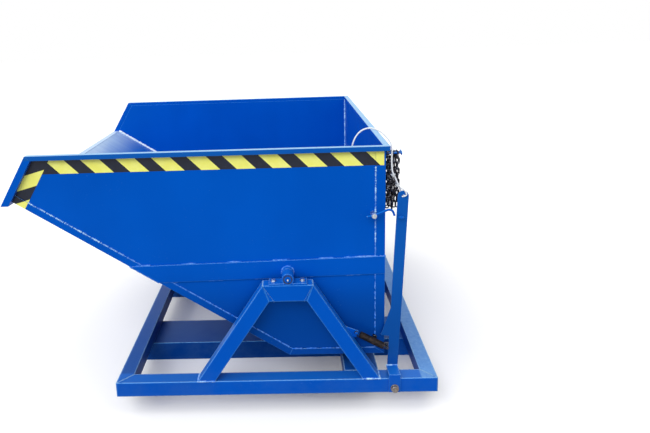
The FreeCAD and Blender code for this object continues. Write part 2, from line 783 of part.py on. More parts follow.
# Spring lug on the rear leg, and the two studs that hold the spring
lug_outer = -frame_inner - lug_thick
lug_low = leg_stud.z - lug_height / 2
lug_high = leg_stud.z + lug_height / 2
leg_low_x = line_at_z(rear_outer[0], rear_outer[1], lug_low)
leg_high_x = line_at_z(rear_outer[0], rear_outer[1], lug_high)
lug = prism([(leg_low_x, lug_low), (leg_stud.x + lug_reach, lug_low + lug_reach),
             (leg_stud.x + lug_reach, leg_stud.z + lug_reach / 2), (leg_high_x, lug_high)],
            lug_outer, -frame_inner)


def stud(centre, y_from):
    """A stud with a head that keeps the spring's loop on."""
    head_y = spring_y - spring_wire
    pin = across(centre.x, centre.z, head_y, y_from, stud_diameter)
    head = across(centre.x, centre.z, head_y - stud_head_thick, head_y, stud_head)
    return pin.fuse(head)


nodes["spring_lug"] = lug.fuse(stud(leg_stud, lug_outer)).removeSplitter()
lever_lug_low = lever_stud.z - lever_lug_height / 2
lever_lug_high = lever_stud.z + lever_lug_height / 2
lever_lug = prism([(lever_stud.x - lug_reach, lever_lug_low),
                   (lever_front_x(lever_lug_low), lever_lug_low),
                   (lever_front_x(lever_lug_high), lever_lug_high),
                   (lever_stud.x - lug_reach, lever_lug_high)], -bar_outer, -bar_inner)
nodes["spring_stud"] = lever_lug.fuse(stud(lever_stud, -bar_outer)).removeSplitter()

# Safety hook: a bent rod on a sleeve, raised from the eye by hook_raise degrees
eye_outer_radius = eye_hole / 2 + eye_wire
hook_y = -(bar_outer + eye_outer_radius + 2 * side_clearance)
raised = math.radians(hook_raise)


def raise_hook(shape):
    shape = shape.copy()
    shape.rotate(V(hook_x, hook_y, hook_z), V(0, -1, 0), hook_raise)
    return shape


hook_points = [xz(hook_x - hook_tail - hook_sleeve / 2, hook_z + hook_rod / 2, hook_y),
               xz(hook_x, hook_z, hook_y),
               xz(hook_x + hook_reach - hook_bend, hook_z + hook_rod / 2, hook_y),
               xz(hook_x + hook_reach, hook_z - hook_bend / 2, hook_y),
               xz(hook_x + hook_reach, hook_z - hook_drop, hook_y)]
hook_edges, hook_radii = route(hook_points[1:])
hook = tube(hook_edges, hook_rod)
hook = hook.fuse([rod(hook_points[0], hook_points[1], hook_rod),
                  across(hook_x, hook_z, hook_y - hook_rod / 2, hook_y + hook_rod / 2,
                         hook_sleeve)])
hook = hook.cut(across(hook_x, hook_z, hook_y - cut_over, hook_y + cut_over,
                       hook_bolt_diameter + 2 * run_clearance))
nodes["safety_hook"] = raise_hook(hook.removeSplitter())
spacer_end = hook_y + hook_rod / 2 + bolt_clearance
hook_washer = hook_y - hook_rod / 2 - bolt_clearance
hook_bolt = across(hook_x, hook_z, hook_washer, -half_skip, hook_bolt_diameter)
hook_bolt = hook_bolt.fuse([
    across(hook_x, hook_z, spacer_end, -half_skip, hook_sleeve),
    across(hook_x, hook_z, hook_washer - washer_thick, hook_washer, hook_sleeve),
    hexagon(V(hook_x, hook_washer - washer_thick, hook_z), V(0, -1, 0), small_hex, small_head)])
nodes["hook_bolt"] = hook_bolt.removeSplitter()

# Hook eye: a ring welded to the lever's outer face, with an upright hole
eye = Part.makeTorus((eye_hole + eye_wire) / 2, eye_wire / 2, V(eye_x, hook_y, eye_z), V(0, 0, 1))
eye_stem = rod(V(eye_x, hook_y + (eye_hole + eye_wire) / 2, eye_z), V(eye_x, -bar_outer, eye_z),
               eye_wire)
nodes["hook_eye"] = eye.fuse(eye_stem).removeSplitter()

# Rope eye: the release rope goes through the lever's hole and back up into two clips
rope_line = V(-math.sin(math.radians(23.5)), 0, math.cos(math.radians(23.5)))
bar_middle = -(bar_outer + bar_inner) / 2
rope_centre = V(lever_top[0], bar_middle, lever_top[1])
strand_gap = (rope + rope_gap) / 2
loop_reach = lever_thick / 2 + rope_gap + rope / 2


rear_way = V(0, 1, 0).cross(rope_line)


def rope_at(along, aside, behind=0.0):
    """A place by the lever's top: along the rope, aside across the lever, and behind the rope."""
    return rope_centre + rope_line * along + V(0, 1, 0) * aside + rear_way * behind


loop_base = loop_reach - rope_gap
main_end = clip_second + clip_length / 2 + thread_end
loop_low = loop_base - loop_reach
eye_places = [(rope_at(loop_base, -loop_reach, 2 * loop_reach), rope_line * -1),
              (rope_at(loop_low, -loop_reach, loop_reach), rear_way * -1),
              (rope_at(loop_low, 0), V(0, 1, 0)),
              (rope_at(loop_base, loop_reach), rope_line)]
join_low = clip_first - clip_length / 2 - rope_gap
join_high = lever_width / 2 + thread_end
tail_run = [rope_at(clip_second + rope_tail, -strand_gap), rope_at(join_low, -strand_gap)]
main_run = [rope_at(join_low, strand_gap), rope_at(main_end, strand_gap)]
down_run = [rope_at(loop_base + eye_straight, -loop_reach, 2 * loop_reach), eye_places[0][0]]
up_run = [eye_places[-1][0], rope_at(join_high, loop_reach)]
eye_edges = [Part.LineSegment(tail_run[0], tail_run[1]).toShape()]
eye_edges += biarc_edges(tail_run[1], rope_line * -1, down_run[0], rope_line * -1)
eye_edges.append(Part.LineSegment(down_run[0], down_run[1]).toShape())
eye_edges += chain_of(eye_places)
eye_edges.append(Part.LineSegment(up_run[0], up_run[1]).toShape())
eye_edges += biarc_edges(up_run[1], rope_line, main_run[0], rope_line)
eye_edges += [Part.LineSegment(main_run[0], main_run[1]).toShape()]
nodes["rope_eye"] = tube(eye_edges, rope)
clear_volume("rope_eye", nodes["rope_eye"], eye_edges, rope)

# Rope clips: a saddle, a U-bolt and two nuts, twice
clip_parts = []
strand_reach = strand_gap + rope / 2
away = rope_line.cross(V(0, 1, 0))
leg_aside = strand_reach + clip_gap + clip_bolt / 2
leg_top = rope / 2 + clip_wall + clip_nut_height + clip_gap
bow_low = rope / 2 + clip_gap + clip_bolt / 2
bow_bend = clip_bolt
for along in (clip_first, clip_second):

    def clip_at(aside, out):
        """A place of this clip: aside across the lever, and out on the saddle's side."""
        return rope_at(along, aside) + away * out

    saddle_half = leg_aside + clip_nut / 2
    step = rope_line * (clip_length / 2)
    corners = [clip_at(-saddle_half, 0) - step, clip_at(saddle_half, 0) - step,
               clip_at(saddle_half, 0) + step, clip_at(-saddle_half, 0) + step]
    block = Part.Face(Part.makePolygon(corners + [corners[0]]))
    block = block.extrude(away * (rope / 2 + clip_wall))
    for aside in (-strand_gap, strand_gap):
        block = block.cut(rod(rope_at(along - clip_length, aside), rope_at(along + clip_length, aside),
                              rope + 2 * run_clearance))
    bow = [Part.LineSegment(clip_at(-leg_aside, leg_top), clip_at(-leg_aside, bow_bend - bow_low))]
    bow.append(Part.LineSegment(clip_at(bow_bend - leg_aside, -bow_low),
                                clip_at(leg_aside - bow_bend, -bow_low)))
    bow.append(Part.LineSegment(clip_at(leg_aside, bow_bend - bow_low), clip_at(leg_aside, leg_top)))
    turns_in = [arc_edge(clip_at(-leg_aside, bow_bend - bow_low), clip_at(-leg_aside, -bow_low),
                         clip_at(bow_bend - leg_aside, -bow_low)),
                arc_edge(clip_at(leg_aside - bow_bend, -bow_low), clip_at(leg_aside, -bow_low),
                         clip_at(leg_aside, bow_bend - bow_low))]
    bow = [line.toShape() for line in bow]
    bow = tube([bow[0], turns_in[0], bow[1], turns_in[1], bow[2]], clip_bolt)
    for aside in (-leg_aside, leg_aside):
        bore = rod(clip_at(aside, -cut_over), clip_at(aside, cut_over), clip_bolt + 2 * run_clearance)
        nut = hexagon(clip_at(aside, rope / 2 + clip_wall), away, clip_nut, clip_nut_height)
        block = block.cut(bore)
        clip_parts.append(nut.cut(bore))
    clip_parts += [block, bow]
nodes["rope_clips"] = Part.makeCompound(clip_parts)

# Free release rope: over the rear corner of the rim and down inside the hopper
start = rope_at(main_end + rope_start_gap, strand_gap)
inside_floor = floor_z + sheet
arc_z = max(rim_top, start.z + rope_rise)


def rope_place(behind, out, height):
    return V(rear_x + behind, -half_skip - out, height)


rope_points = [start]
rope_points += [rope_place(behind, out, start.z + up) for behind, out, up in rope_rising]
rope_points += [rope_place(behind, out, arc_z + up) for behind, out, up in rope_over]
rope_points += [rope_place(behind, out, inside_floor + share * (arc_z - inside_floor))
                for behind, out, share in rope_down_shares]
lay_z = inside_floor + rope / 2 + coil_lift
layer = coil_pitch
coil_out = coil_mean + coil_pitch * coil_loops / 2
quarter_count = coil_loops * 4


def coil_place(k):
    """A place of the coil's upper or lower layer, by quarter turns, and its direction."""
    inward = k <= quarter_count
    shrink = coil_pitch / 4
    steps_in = k if inward else 2 * quarter_count + 1 - k
    radius = coil_out - shrink * min(steps_in, quarter_count)
    angle = math.pi / 2 * k
    height = lay_z if inward else lay_z + layer
    growth = -shrink if inward else shrink
    out = V(math.cos(angle), math.sin(angle), 0)
    round_way = V(-math.sin(angle), math.cos(angle), 0)
    way = round_way * (radius * math.pi / 2) + out * growth
    return V(coil_x, coil_y, height) + out * radius, way.normalize()


coil_places = [coil_place(k) for k in range(2 * quarter_count + 2)]
coil_edges = chain_of(coil_places)
coil_first, coil_last = coil_places[0], coil_places[-1]
lead = 2 * rope
coil_in = coil_first[0] - coil_first[1] * lead
exit_way = coil_last[1]
ferrule_z = inside_floor + ferrule_diameter / 2 + coil_lift
come_down = coil_last[0] + exit_way * (4 * lead)
come_down.z = ferrule_z
coil_exit = come_down + exit_way * lead
coil_edges = [Part.LineSegment(coil_in, coil_first[0]).toShape()] + coil_edges
coil_edges += biarc_edges(coil_last[0], exit_way, come_down, exit_way)
coil_edges.append(Part.LineSegment(come_down, coil_exit).toShape())
nodes["rope_coil"] = tube(coil_edges, rope)
clear_volume("rope_coil", nodes["rope_coil"], coil_edges, rope)
print("rope_coil least gap", round(least_gap(coil_edges, rope, 6 * rope), 3))
rope_points += [coil_in - coil_first[1] * (2 * lead), coil_in]
rope_edges, rope_radii = route(rope_points)
nodes["release_rope"] = tube(rope_edges, rope)
clear_volume("release_rope", nodes["release_rope"], rope_edges, rope)
print("release_rope radii", [round(r) for r in rope_radii])

# Rope's end: a pressed ferrule and a pull ring on the hopper's floor
ferrule_end = coil_exit + exit_way * ferrule_length
nodes["rope_ferrule"] = rod(coil_exit, ferrule_end, ferrule_diameter)
ring_radius = (ring_inside + ring_wire) / 2
ring_centre = ferrule_end + exit_way * (ring_radius + ring_wire / 2)
ring_centre.z = inside_floor + ring_wire / 2 + coil_lift
nodes["pull_ring"] = Part.makeTorus(ring_radius, ring_wire / 2, ring_centre, V(0, 0, 1))

# Chain hanger: two pegs with heads on the rear wall
hanger_end = rear_x + hanger_stand + (strands - 1) * strand_pitch + link_inside_width + link_wire
pegs = []
for y in (hanger_y, hanger_y + row_gap):
    peg = rod(V(rear_x, y, hanger_z), V(hanger_end, y, hanger_z), hanger_rod)
    head = rod(V(hanger_end, y, hanger_z), V(hanger_end + hanger_head_thick, y, hanger_z), hanger_head)
    pegs.append(peg.fuse(head).removeSplitter())
nodes["chain_hanger"] = Part.makeCompound(pegs)

# Safety chain: two rows of strands of interlocked links on the pegs, with one shorter strand
link_bend = (link_inside_width + link_wire) / 2
link_run = (link_inside_length - link_inside_width) / 2
link_edges = [
    Part.LineSegment(V(link_bend, 0, -link_run), V(link_bend, 0, link_run)).toShape(),
    Part.Arc(V(link_bend, 0, link_run), V(0, 0, link_run + link_bend),
             V(-link_bend, 0, link_run)).toShape(),
    Part.LineSegment(V(-link_bend, 0, link_run), V(-link_bend, 0, -link_run)).toShape(),
    Part.Arc(V(-link_bend, 0, -link_run), V(0, 0, -link_run - link_bend),
             V(link_bend, 0, -link_run)).toShape()]
link = tube(link_edges, link_wire)
first_link_z = hanger_z + hanger_rod / 2 + link_gap - link_inside_length / 2
link_step = link_inside_length - link_gap
places = [(strand * strand_pitch, 0.0, strand_links - strand_short * (strand % 2))
          for strand in range(strands)]
places += [((strand + 1 / 2) * strand_pitch, row_gap, strand_links - strand)
           for strand in range(back_strands)]
links = []
for behind, in_row, count in places:
    for k in range(count):
        turned = link.copy()
        turned.rotate(V(0, 0, 0), V(0, 0, 1), 90 * ((k + 1) % 2))
        turned.translate(V(rear_x + hanger_stand + behind, hanger_y + in_row, first_link_z - k * link_step))
        links.append(turned)
nodes["safety_chain"] = Part.makeCompound(links)

# Chain hook: a long ring in the middle strand's last link, square to it
short_links = strand_links - strand_short
last_z = first_link_z - (short_links - 1) * link_step
snap_x = rear_x + hanger_stand + strand_pitch
snap_half = (link_inside_width + link_wire) / 2 + link_gap
snap_top = last_z - link_inside_length / 2 + link_gap + snap_wire / 2
snap_high = snap_top - snap_half
snap_low = snap_high - snap_length
snap_way = V(1, 0, 0) if short_links % 2 else V(0, 1, 0)


def snap_point(side, z):
    return V(snap_x, hanger_y, z) + snap_way * side


snap_edges = [
    Part.LineSegment(snap_point(-snap_half, snap_low), snap_point(-snap_half, snap_high)).toShape(),
    Part.Arc(snap_point(-snap_half, snap_high), snap_point(0, snap_top),
             snap_point(snap_half, snap_high)).toShape(),
    Part.LineSegment(snap_point(snap_half, snap_high), snap_point(snap_half, snap_low)).toShape(),
    Part.Arc(snap_point(snap_half, snap_low), snap_point(0, snap_low - snap_half),
             snap_point(-snap_half, snap_low)).toShape()]
nodes["chain_hook"] = tube(snap_edges, snap_wire)

# Origin: the middle of the whole part on the floor
part_middle_x = (lip_foot_x + half_base) / 2
move = V(-part_middle_x, 0, 0)
print("origin lies at base x", part_middle_x)
print("pivot", pivot_x - part_middle_x, 0.0, pivot_z)
print("lever bolt", lever_x - part_middle_x, -bar_outer, lever_z)
print("hook bolt", hook_x - part_middle_x, round(hook_y, 3), hook_z)
os.makedirs("parts", exist_ok=True)
for name, shape in nodes.items():
    shape = shape.copy()
    shape.translate(move)
    shape.exportStep("parts/" + name + ".step")
    bounds = shape.BoundBox
    print(name, len(shape.Solids), shape.isValid(), round(shape.Volume),
          [round(v, 1) for v in (bounds.XMin, bounds.XMax, bounds.YMin, bounds.YMax,
                                 bounds.ZMin, bounds.ZMax)])
print(len(nodes), "nodes")
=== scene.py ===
# %% [markdown]
# # A tipping skip
#
# The skip is a hopper of folded sheet on a frame of square tube. Its solids come from the packed
# frame. This script gives them their finish, and makes what a solid model leaves plain: the weld
# beads, the rope's twisted strands, the chain's links and the spring's round wire. Every length is
# in metres.

import json
import math

import bpy
from mathutils import Matrix, Vector

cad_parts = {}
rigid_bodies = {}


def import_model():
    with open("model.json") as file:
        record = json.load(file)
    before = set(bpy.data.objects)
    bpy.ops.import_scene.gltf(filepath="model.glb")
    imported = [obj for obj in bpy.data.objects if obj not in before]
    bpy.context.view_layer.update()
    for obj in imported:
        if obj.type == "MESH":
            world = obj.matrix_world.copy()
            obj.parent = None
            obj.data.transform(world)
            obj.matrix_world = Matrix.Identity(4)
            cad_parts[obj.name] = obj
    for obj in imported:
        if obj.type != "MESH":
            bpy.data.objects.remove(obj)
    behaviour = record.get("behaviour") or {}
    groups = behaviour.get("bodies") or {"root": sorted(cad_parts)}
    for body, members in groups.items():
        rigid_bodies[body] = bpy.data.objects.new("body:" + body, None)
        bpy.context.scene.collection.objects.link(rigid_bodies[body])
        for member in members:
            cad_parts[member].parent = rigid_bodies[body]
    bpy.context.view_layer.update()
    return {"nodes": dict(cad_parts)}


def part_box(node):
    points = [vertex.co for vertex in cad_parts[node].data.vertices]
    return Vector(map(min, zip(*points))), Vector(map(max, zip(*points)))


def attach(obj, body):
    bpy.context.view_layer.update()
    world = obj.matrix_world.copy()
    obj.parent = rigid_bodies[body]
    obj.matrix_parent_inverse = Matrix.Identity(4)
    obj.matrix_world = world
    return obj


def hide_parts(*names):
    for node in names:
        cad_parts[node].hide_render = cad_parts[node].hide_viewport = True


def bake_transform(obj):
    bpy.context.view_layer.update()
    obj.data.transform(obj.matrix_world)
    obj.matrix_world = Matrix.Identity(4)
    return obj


for leftover in list(bpy.data.objects):
    bpy.data.objects.remove(leftover)
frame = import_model()
nodes = frame["nodes"]

# %% [markdown]
# ## One place to measure from
#
# The pouring lip reaches far out in front, so the middle of the whole skip isn't the middle of its
# base. The places below are measured from the middle of the base, and this moves them.

# %% Middle of the base
HALF_BASE = 0.745
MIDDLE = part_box("front_rail")[0].x + HALF_BASE


def at(x, y, z):
    """A place measured from the middle of the base, as a place of the whole skip."""
    return (x + MIDDLE, y, z)


def added(name, data):
    """A new object in the scene, made of this mesh, curve, lamp or camera."""
    made = bpy.data.objects.new(name, data)
    bpy.context.scene.collection.objects.link(made)
    return made


print("the base's middle is at x", round(MIDDLE, 4))

# %% [markdown]
# ## The camera
#
# The picture was taken from a little above the rim, almost square to the side wall. The camera
# stands where the edges of the solid model fall on the edges in the picture. Its lens is shifted a
# little, because the skip isn't in the middle of the picture.

# %% Camera
EYE = Vector(at(0.09069, -3.32266, 1.78262))
YAW, PITCH, ROLL = (math.radians(a) for a in (-1.603, 12.637, -1.99))
LENS, SHIFT_X, SHIFT_Y = 32.007, 0.0800, -0.0987
forward = Vector((math.sin(YAW) * math.cos(PITCH), math.cos(YAW) * math.cos(PITCH),
                  -math.sin(PITCH)))
level = Vector((math.cos(YAW), -math.sin(YAW), 0))
upright = level.cross(forward)
right = level * math.cos(ROLL) + upright * math.sin(ROLL)
up = upright * math.cos(ROLL) - level * math.sin(ROLL)
camera = added("camera", bpy.data.cameras.new("camera"))
camera.matrix_world = (Matrix.Translation(EYE)
                       @ Matrix((right, up, -forward)).transposed().to_4x4())
camera.data.sensor_width = 36.0
camera.data.lens, camera.data.shift_x, camera.data.shift_y = LENS, SHIFT_X, SHIFT_Y
bpy.context.scene.camera = camera
print("camera at", [round(c, 3) for c in EYE])

# %% [markdown]
# ## Writing nodes as sums
#
# Materials and Geometry Nodes trees are both made of nodes joined by links. One class holds a tree
# and adds nodes to it, and one holds a node's output, so that a mask can be written as a sum. Each
# sum adds the Math nodes that it needs. Colours go through a Mix node, because a Math node would
# turn them grey.


# %% Wires and trees
class Wire:
    """A node's output. Sums on it add Math nodes."""

    def __init__(self, tree, socket):
        self.tree, self.socket = tree, socket

    def math(self, operation, *values):
        return self.tree.node("ShaderNodeMath", {"operation": operation}, list(values))

    def __add__(self, other):
        return self.math("ADD", self, other)

    def __radd__(self, other):
        return self.math("ADD", other, self)

    def __sub__(self, other):
        return self.math("SUBTRACT", self, other)

    def __rsub__(self, other):
        return self.math("SUBTRACT", other, self)

    def __mul__(self, other):
        return self.math("MULTIPLY", self, other)

    def __rmul__(self, other):
        return self.math("MULTIPLY", other, self)

    def __truediv__(self, other):
        return self.math("DIVIDE", self, other)

    def __rtruediv__(self, other):
        return self.math("DIVIDE", other, self)

    def __mod__(self, other):
        return self.math("FLOORED_MODULO", self, other)

    def above(self, limit, soft=0.0):
        """1 where the value is above the limit, with a soft edge of that width."""
        if not soft:
            return self.math("GREATER_THAN", self, limit)
        return self.tree.node("ShaderNodeMapRange", {"interpolation_type": "SMOOTHSTEP"},
                              {"Value": self, "From Min": limit - soft / 2,
                               "From Max": limit + soft / 2})

    def below(self, limit, soft=0.0):
        """1 where the value is below the limit."""
        return 1.0 - self.above(limit, soft)

    def size(self):
        return self.math("ABSOLUTE", self)

    def beside(self, output):
        """Another output of the same node."""
        return Wire(self.tree, self.socket.node.outputs[output])


class Tree:
    """A node tree. node() adds one node, sets it up and returns one of its outputs."""

    def __init__(self, made):
        self.made = made

    def node(self, kind, settings=None, inputs=None, output=0):
        new = self.made.nodes.new(kind)
        for key, value in (settings or {}).items():
            setattr(new, key, value)
        pairs = enumerate(inputs) if isinstance(inputs, list) else (inputs or {}).items()
        for key, value in pairs:
            if isinstance(value, Wire):
                self.made.links.new(value.socket, new.inputs[key])
            else:
                new.inputs[key].default_value = value
        return Wire(self, new.outputs[output])

    def mix(self, first, second, share):
        """A colour between two colours."""
        return self.node("ShaderNodeMix", {"data_type": "RGBA"}, {0: share, 6: first, 7: second}, 2)

    def point(self):
        """The shaded point's place on the skip, which is the same from every side."""
        return self.node("ShaderNodeTexCoord", output="Object")

    def place(self):
        """The point's x, y and z from the middle of the base, as three wires."""
        x = self.node("ShaderNodeSeparateXYZ", inputs=[self.point()])
        return x - MIDDLE, x.beside("Y"), x.beside("Z")

    def stretched(self, x, y, z):
        """The point, stretched along the axes, which draws a noise out into streaks."""
        return self.node("ShaderNodeVectorMath", {"operation": "MULTIPLY"},
                         [self.point(), (x, y, z)])

    def noise(self, scale, detail=2.0, roughness=0.5, vector=None):
        """A soft random value around 0.5. A larger scale has finer spots."""
        return self.node("ShaderNodeTexNoise", inputs={
            "Vector": vector or self.point(), "Scale": scale, "Detail": detail,
            "Roughness": roughness})

    def joined(self, *shapes):
        """Several shapes as one."""
        whole = self.node("GeometryNodeJoinGeometry")
        for shape in shapes:
            self.made.links.new(shape.socket, whole.socket.node.inputs[0])
        return whole


def srgb(red, green, blue):
    """A colour written in screen values from 0 to 255, as a shader needs it."""
    return tuple(((c / 255 + 0.055) / 1.055) ** 2.4 if c > 10 else c / 255 / 12.92
                 for c in (red, green, blue)) + (1.0,)


print("screen grey 128 in a shader:", round(srgb(128, 128, 128)[0], 3))

# %% [markdown]
# ## A finish and its rounded edges
#
# Folded sheet and square tube have small round corners that catch the light. The solids are sharp
# there, so a Bevel node bends the normal near each edge, as a corner of a few millimetres would.
# The same node tells where the edges are, and the paint gets a painted highlight there.


# %% Finish maker
def finish_of(name, build, **fixed):
    """A material whose changing values come from build(tree), and whose fixed ones are numbers."""
    material = bpy.data.materials.new(name)
    material.use_nodes = True
    tree = Tree(material.node_tree)
    shader = material.node_tree.nodes["Principled BSDF"]
    for socket, value in fixed.items():
        shader.inputs[socket.replace("_", " ")].default_value = value
    for socket, value in build(tree).items():
        if isinstance(value, Wire):
            tree.made.links.new(value.socket, shader.inputs[socket])
        else:
            shader.inputs[socket].default_value = value
    return material


EDGE_TURN, EDGE_SOFT = 0.07, 0.12
BEVEL_SAMPLES = 6


def rounded(tree, radius):
    """A normal with round edges, and a mask that is 1 where it has turned far enough."""
    bent = tree.node("ShaderNodeBevel", {"samples": BEVEL_SAMPLES}, {"Radius": radius})
    flat = tree.node("ShaderNodeNewGeometry", output="Normal")
    same = tree.node("ShaderNodeVectorMath", {"operation": "DOT_PRODUCT"}, [bent, flat], "Value")
    return bent, (1.0 - same).above(EDGE_TURN, EDGE_SOFT)


def bumped(tree, height, distance, normal=None, strength=1.0):
    """A normal that follows a height, over another normal if one is given."""
    inputs = {"Strength": strength, "Distance": distance, "Height": height}
    if normal is not None:
        inputs["Normal"] = normal
    return tree.node("ShaderNodeBump", inputs=inputs)


print("an edge shows where the normal has turned by", EDGE_TURN, "or more")

# %% [markdown]
# ## The paint
#
# The frame and hopper are sprayed a strong blue. Sprayed gloss paint isn't one flat colour: its
# tone drifts over a panel where the spray overlapped, and it has a fine orange peel. Light and
# shade are painted into it as well: a painted highlight on the edges, a painted reflection of the
# sky on faces that look up, and a pale painted reflection on the rim's top, on the slope by the
# lip and on the rear rail. Painted shade darkens it under the hopper, between the frames and low
# on the lever. The rim's outer sides and the lever are a duller, darker blue. All of this is
# worked out from the place on the skip, so that one paint covers every piece of it. Square tube
# has rounder corners than folded sheet, and the lever is duller, so each has a paint of its own.
# Blue paint throws back blue light, so its gleam is tinted, and only a view along the face looks
# white.

# %% Paint colours
PAINT = srgb(0, 83, 193)
PAINT_DEEP = srgb(0, 75, 180)
# Painted highlight on edges, and on edges that look up
PAINT_EDGE_HIGHLIGHT = srgb(70, 150, 236)
PAINT_UP_EDGE_HIGHLIGHT = srgb(176, 224, 252)
# Pale painted reflections on the rim's top and rear rail, and on the slope
PAINT_REFLECTED = srgb(158, 208, 234)
PAINT_SLOPE_REFLECTED = srgb(190, 216, 240)
# Painted reflection of the sky on faces that look up
PAINT_SKY_SHEEN = srgb(20, 106, 190)
# Painted shade
PAINT_SHADE = srgb(2, 42, 112)
# A duller, darker blue
PAINT_DULLER = srgb(26, 88, 158)
PAINT_SPECK = srgb(120, 170, 225)
PAINT_DUSTY = srgb(84, 122, 156)
print("the paint in a shader:", [round(c, 3) for c in PAINT[:3]])

# %% Where light and shade are painted, the paint is duller, and dust lies
# Distances from the middle to each side, places along the base, heights, and last how far up a
# face looks that counts as level
SHADE_WIDE, SHADE_BACK, SHADE_TOP, SILL_TOP, DUST_TOP = 0.873, 0.62, 0.56, 0.12, 0.2
RIM_WIDE, RIM_SIDE_LOW, RIM_TOP_LOW = 0.875, 1.2265, 1.2
SLOPE_WIDE, SLOPE_LOW, SLOPE_HIGH = 0.852, 0.99, 1.2
LEVER_SHADE_TOP, REAR_RAIL = 0.55, 0.672
LEVEL_FACE = 0.86


def upward(tree):
    """How far a face looks up: 1 on a level top, 0 on a wall."""
    facing = tree.node("ShaderNodeTexCoord", output="Normal")
    return tree.node("ShaderNodeSeparateXYZ", inputs=[facing], output="Z")


def sprayed(tree, up, drift):
    """The fresh paint: two drifting tones, and a painted sky reflection on faces that look up."""
    bands = tree.noise(1.0, 2.0, 0.5, tree.stretched(5.0, 5.0, 0.5))
    tone = (drift * 0.7 + bands * 0.3).above(0.5, 0.5)
    # Faces that look up get a painted reflection of the sky, which makes them lighter
    return tree.mix(tree.mix(PAINT_DEEP, PAINT, tone), PAINT_SKY_SHEEN, up.above(0.4, 0.3) * 0.55)


def highlit(tree, coat, up, patchy):
    """A pale painted reflection on top of the rim, on the slope by the lip and on the rear rail."""
    x, y, z = tree.place()
    level_top = up.above(LEVEL_FACE, 0.2)
    # Painted reflection on the rim's top
    rubbed = level_top * z.above(RIM_TOP_LOW, 0.04) * (0.5 + patchy * 0.5)
    coat = tree.mix(coat, PAINT_REFLECTED, rubbed * 0.9)
    # Painted reflection on the slope by the lip, in streaks
    streaks = tree.noise(1.0, 4.0, 0.6, tree.stretched(3.0, 26.0, 3.0))
    slope_sheen = up.above(0.7, 0.1) * z.above(SLOPE_LOW, 0.17) * z.below(SLOPE_HIGH, 0.02)
    slope_sheen = slope_sheen * y.size().below(SLOPE_WIDE)
    coat = tree.mix(coat, PAINT_SLOPE_REFLECTED, slope_sheen * (0.5 + streaks * 0.8))
    # Painted reflection on the rear rail's top
    rail_sheen = level_top * x.above(REAR_RAIL, 0.01) * (0.1 + patchy * 0.4)
    return tree.mix(coat, PAINT_REFLECTED, rail_sheen)


# The slope's pale streaks are a painted reflection
print("the slope is scoured from", SLOPE_LOW, "m up")


# %% Blue paint
def painted(tree, corner=0.003, dull=0.0):
    """The paint. corner is the edges' radius, dull a darker tone with painted shade low down."""
    x, y, z = tree.place()
    up = upward(tree)
    drift = tree.noise(1.7, 3.0, 0.6)
    patchy = tree.noise(60.0, 3.0, 0.6)
    bent, edge = rounded(tree, corner)
    coat = sprayed(tree, up, drift)
    # Painted shade under the hopper and between the frames, darkest near the floor
    under = y.size().below(SHADE_WIDE, 0.02) * z.below(SHADE_TOP, 0.3) * x.below(SHADE_BACK, 0.1)
    deepest = z.below(SILL_TOP, 0.04) * 0.2
    coat = tree.mix(coat, PAINT_SHADE, under * (0.45 + drift * 0.25 + deepest))
    # Painted highlight along the edges, whitest where they look up
    edge_highlight = edge * patchy.above(0.34, 0.3) * 0.9
    coat = tree.mix(coat, tree.mix(PAINT_EDGE_HIGHLIGHT, PAINT_UP_EDGE_HIGHLIGHT, up.above(0.3, 0.4)), edge_highlight)
    # A duller, darker blue on the rim's outer sides, and over the lever by dull
    rim_side = z.above(RIM_SIDE_LOW, 0.002) * y.size().above(RIM_WIDE)
    coat = tree.mix(coat, PAINT_DULLER, (rim_side + dull) * (0.3 + drift * 0.5))
    # Painted shade on the lever's lower part
    coat = tree.mix(coat, PAINT_SHADE, z.below(LEVER_SHADE_TOP, 0.4) * dull * 0.45)
    # Pale painted reflections on the rim's top, the slope and the rear rail
    coat = highlit(tree, coat, up, patchy)
    specks = tree.noise(210.0, 2.0, 0.5).above(0.735, 0.03) * tree.noise(4.0, 2.0).above(0.5, 0.2)
    coat = tree.mix(coat, PAINT_SPECK, specks * 0.35)
    dust = z.below(DUST_TOP, 0.3) * tree.noise(9.0, 4.0, 0.7).above(0.5, 0.4) * 0.12
    coat = tree.mix(coat, PAINT_DUSTY, dust)
    peel, waves = tree.noise(420.0, 2.0, 0.5), tree.noise(11.0, 2.0, 0.5)
    return {"Base Color": coat,
            "Roughness": 0.27 + tree.noise(6.0, 3.0, 0.6) * 0.14 + dust * 0.8,
            "Normal": bumped(tree, peel * 0.2 + waves, 0.0007, bent, 0.5)}


GLEAM = {"Specular_IOR_Level": 0.5, "Specular_Tint": (0.02, 0.42, 1.0, 1.0)}
blue_paint = finish_of("skip_blue_paint", painted, **GLEAM)
tube_paint = finish_of("tube_blue_paint", lambda tree: painted(tree, corner=0.008), **GLEAM)
lever_paint = finish_of("lever_blue_paint", lambda tree: painted(tree, dull=0.9), **GLEAM)
print("paint", blue_paint.name, len(blue_paint.node_tree.nodes), "nodes")

# %% [markdown]
# ## Weld paint
#
# A weld bead is rough and round, so the paint on it shines in small points. Its crowns get painted
# highlights, most of all high up and at the legs' feet. The two long beads on the slope inside are
# painted almost white, a painted highlight.


# %% Paint on welds
BEAD_GLEAM = (0.35, 0.75, 1.0, 1.0)
# Heights above and below which the painted highlights on the crowns are strongest
GLINT_FROM, FEET_TO = 0.78, 0.21


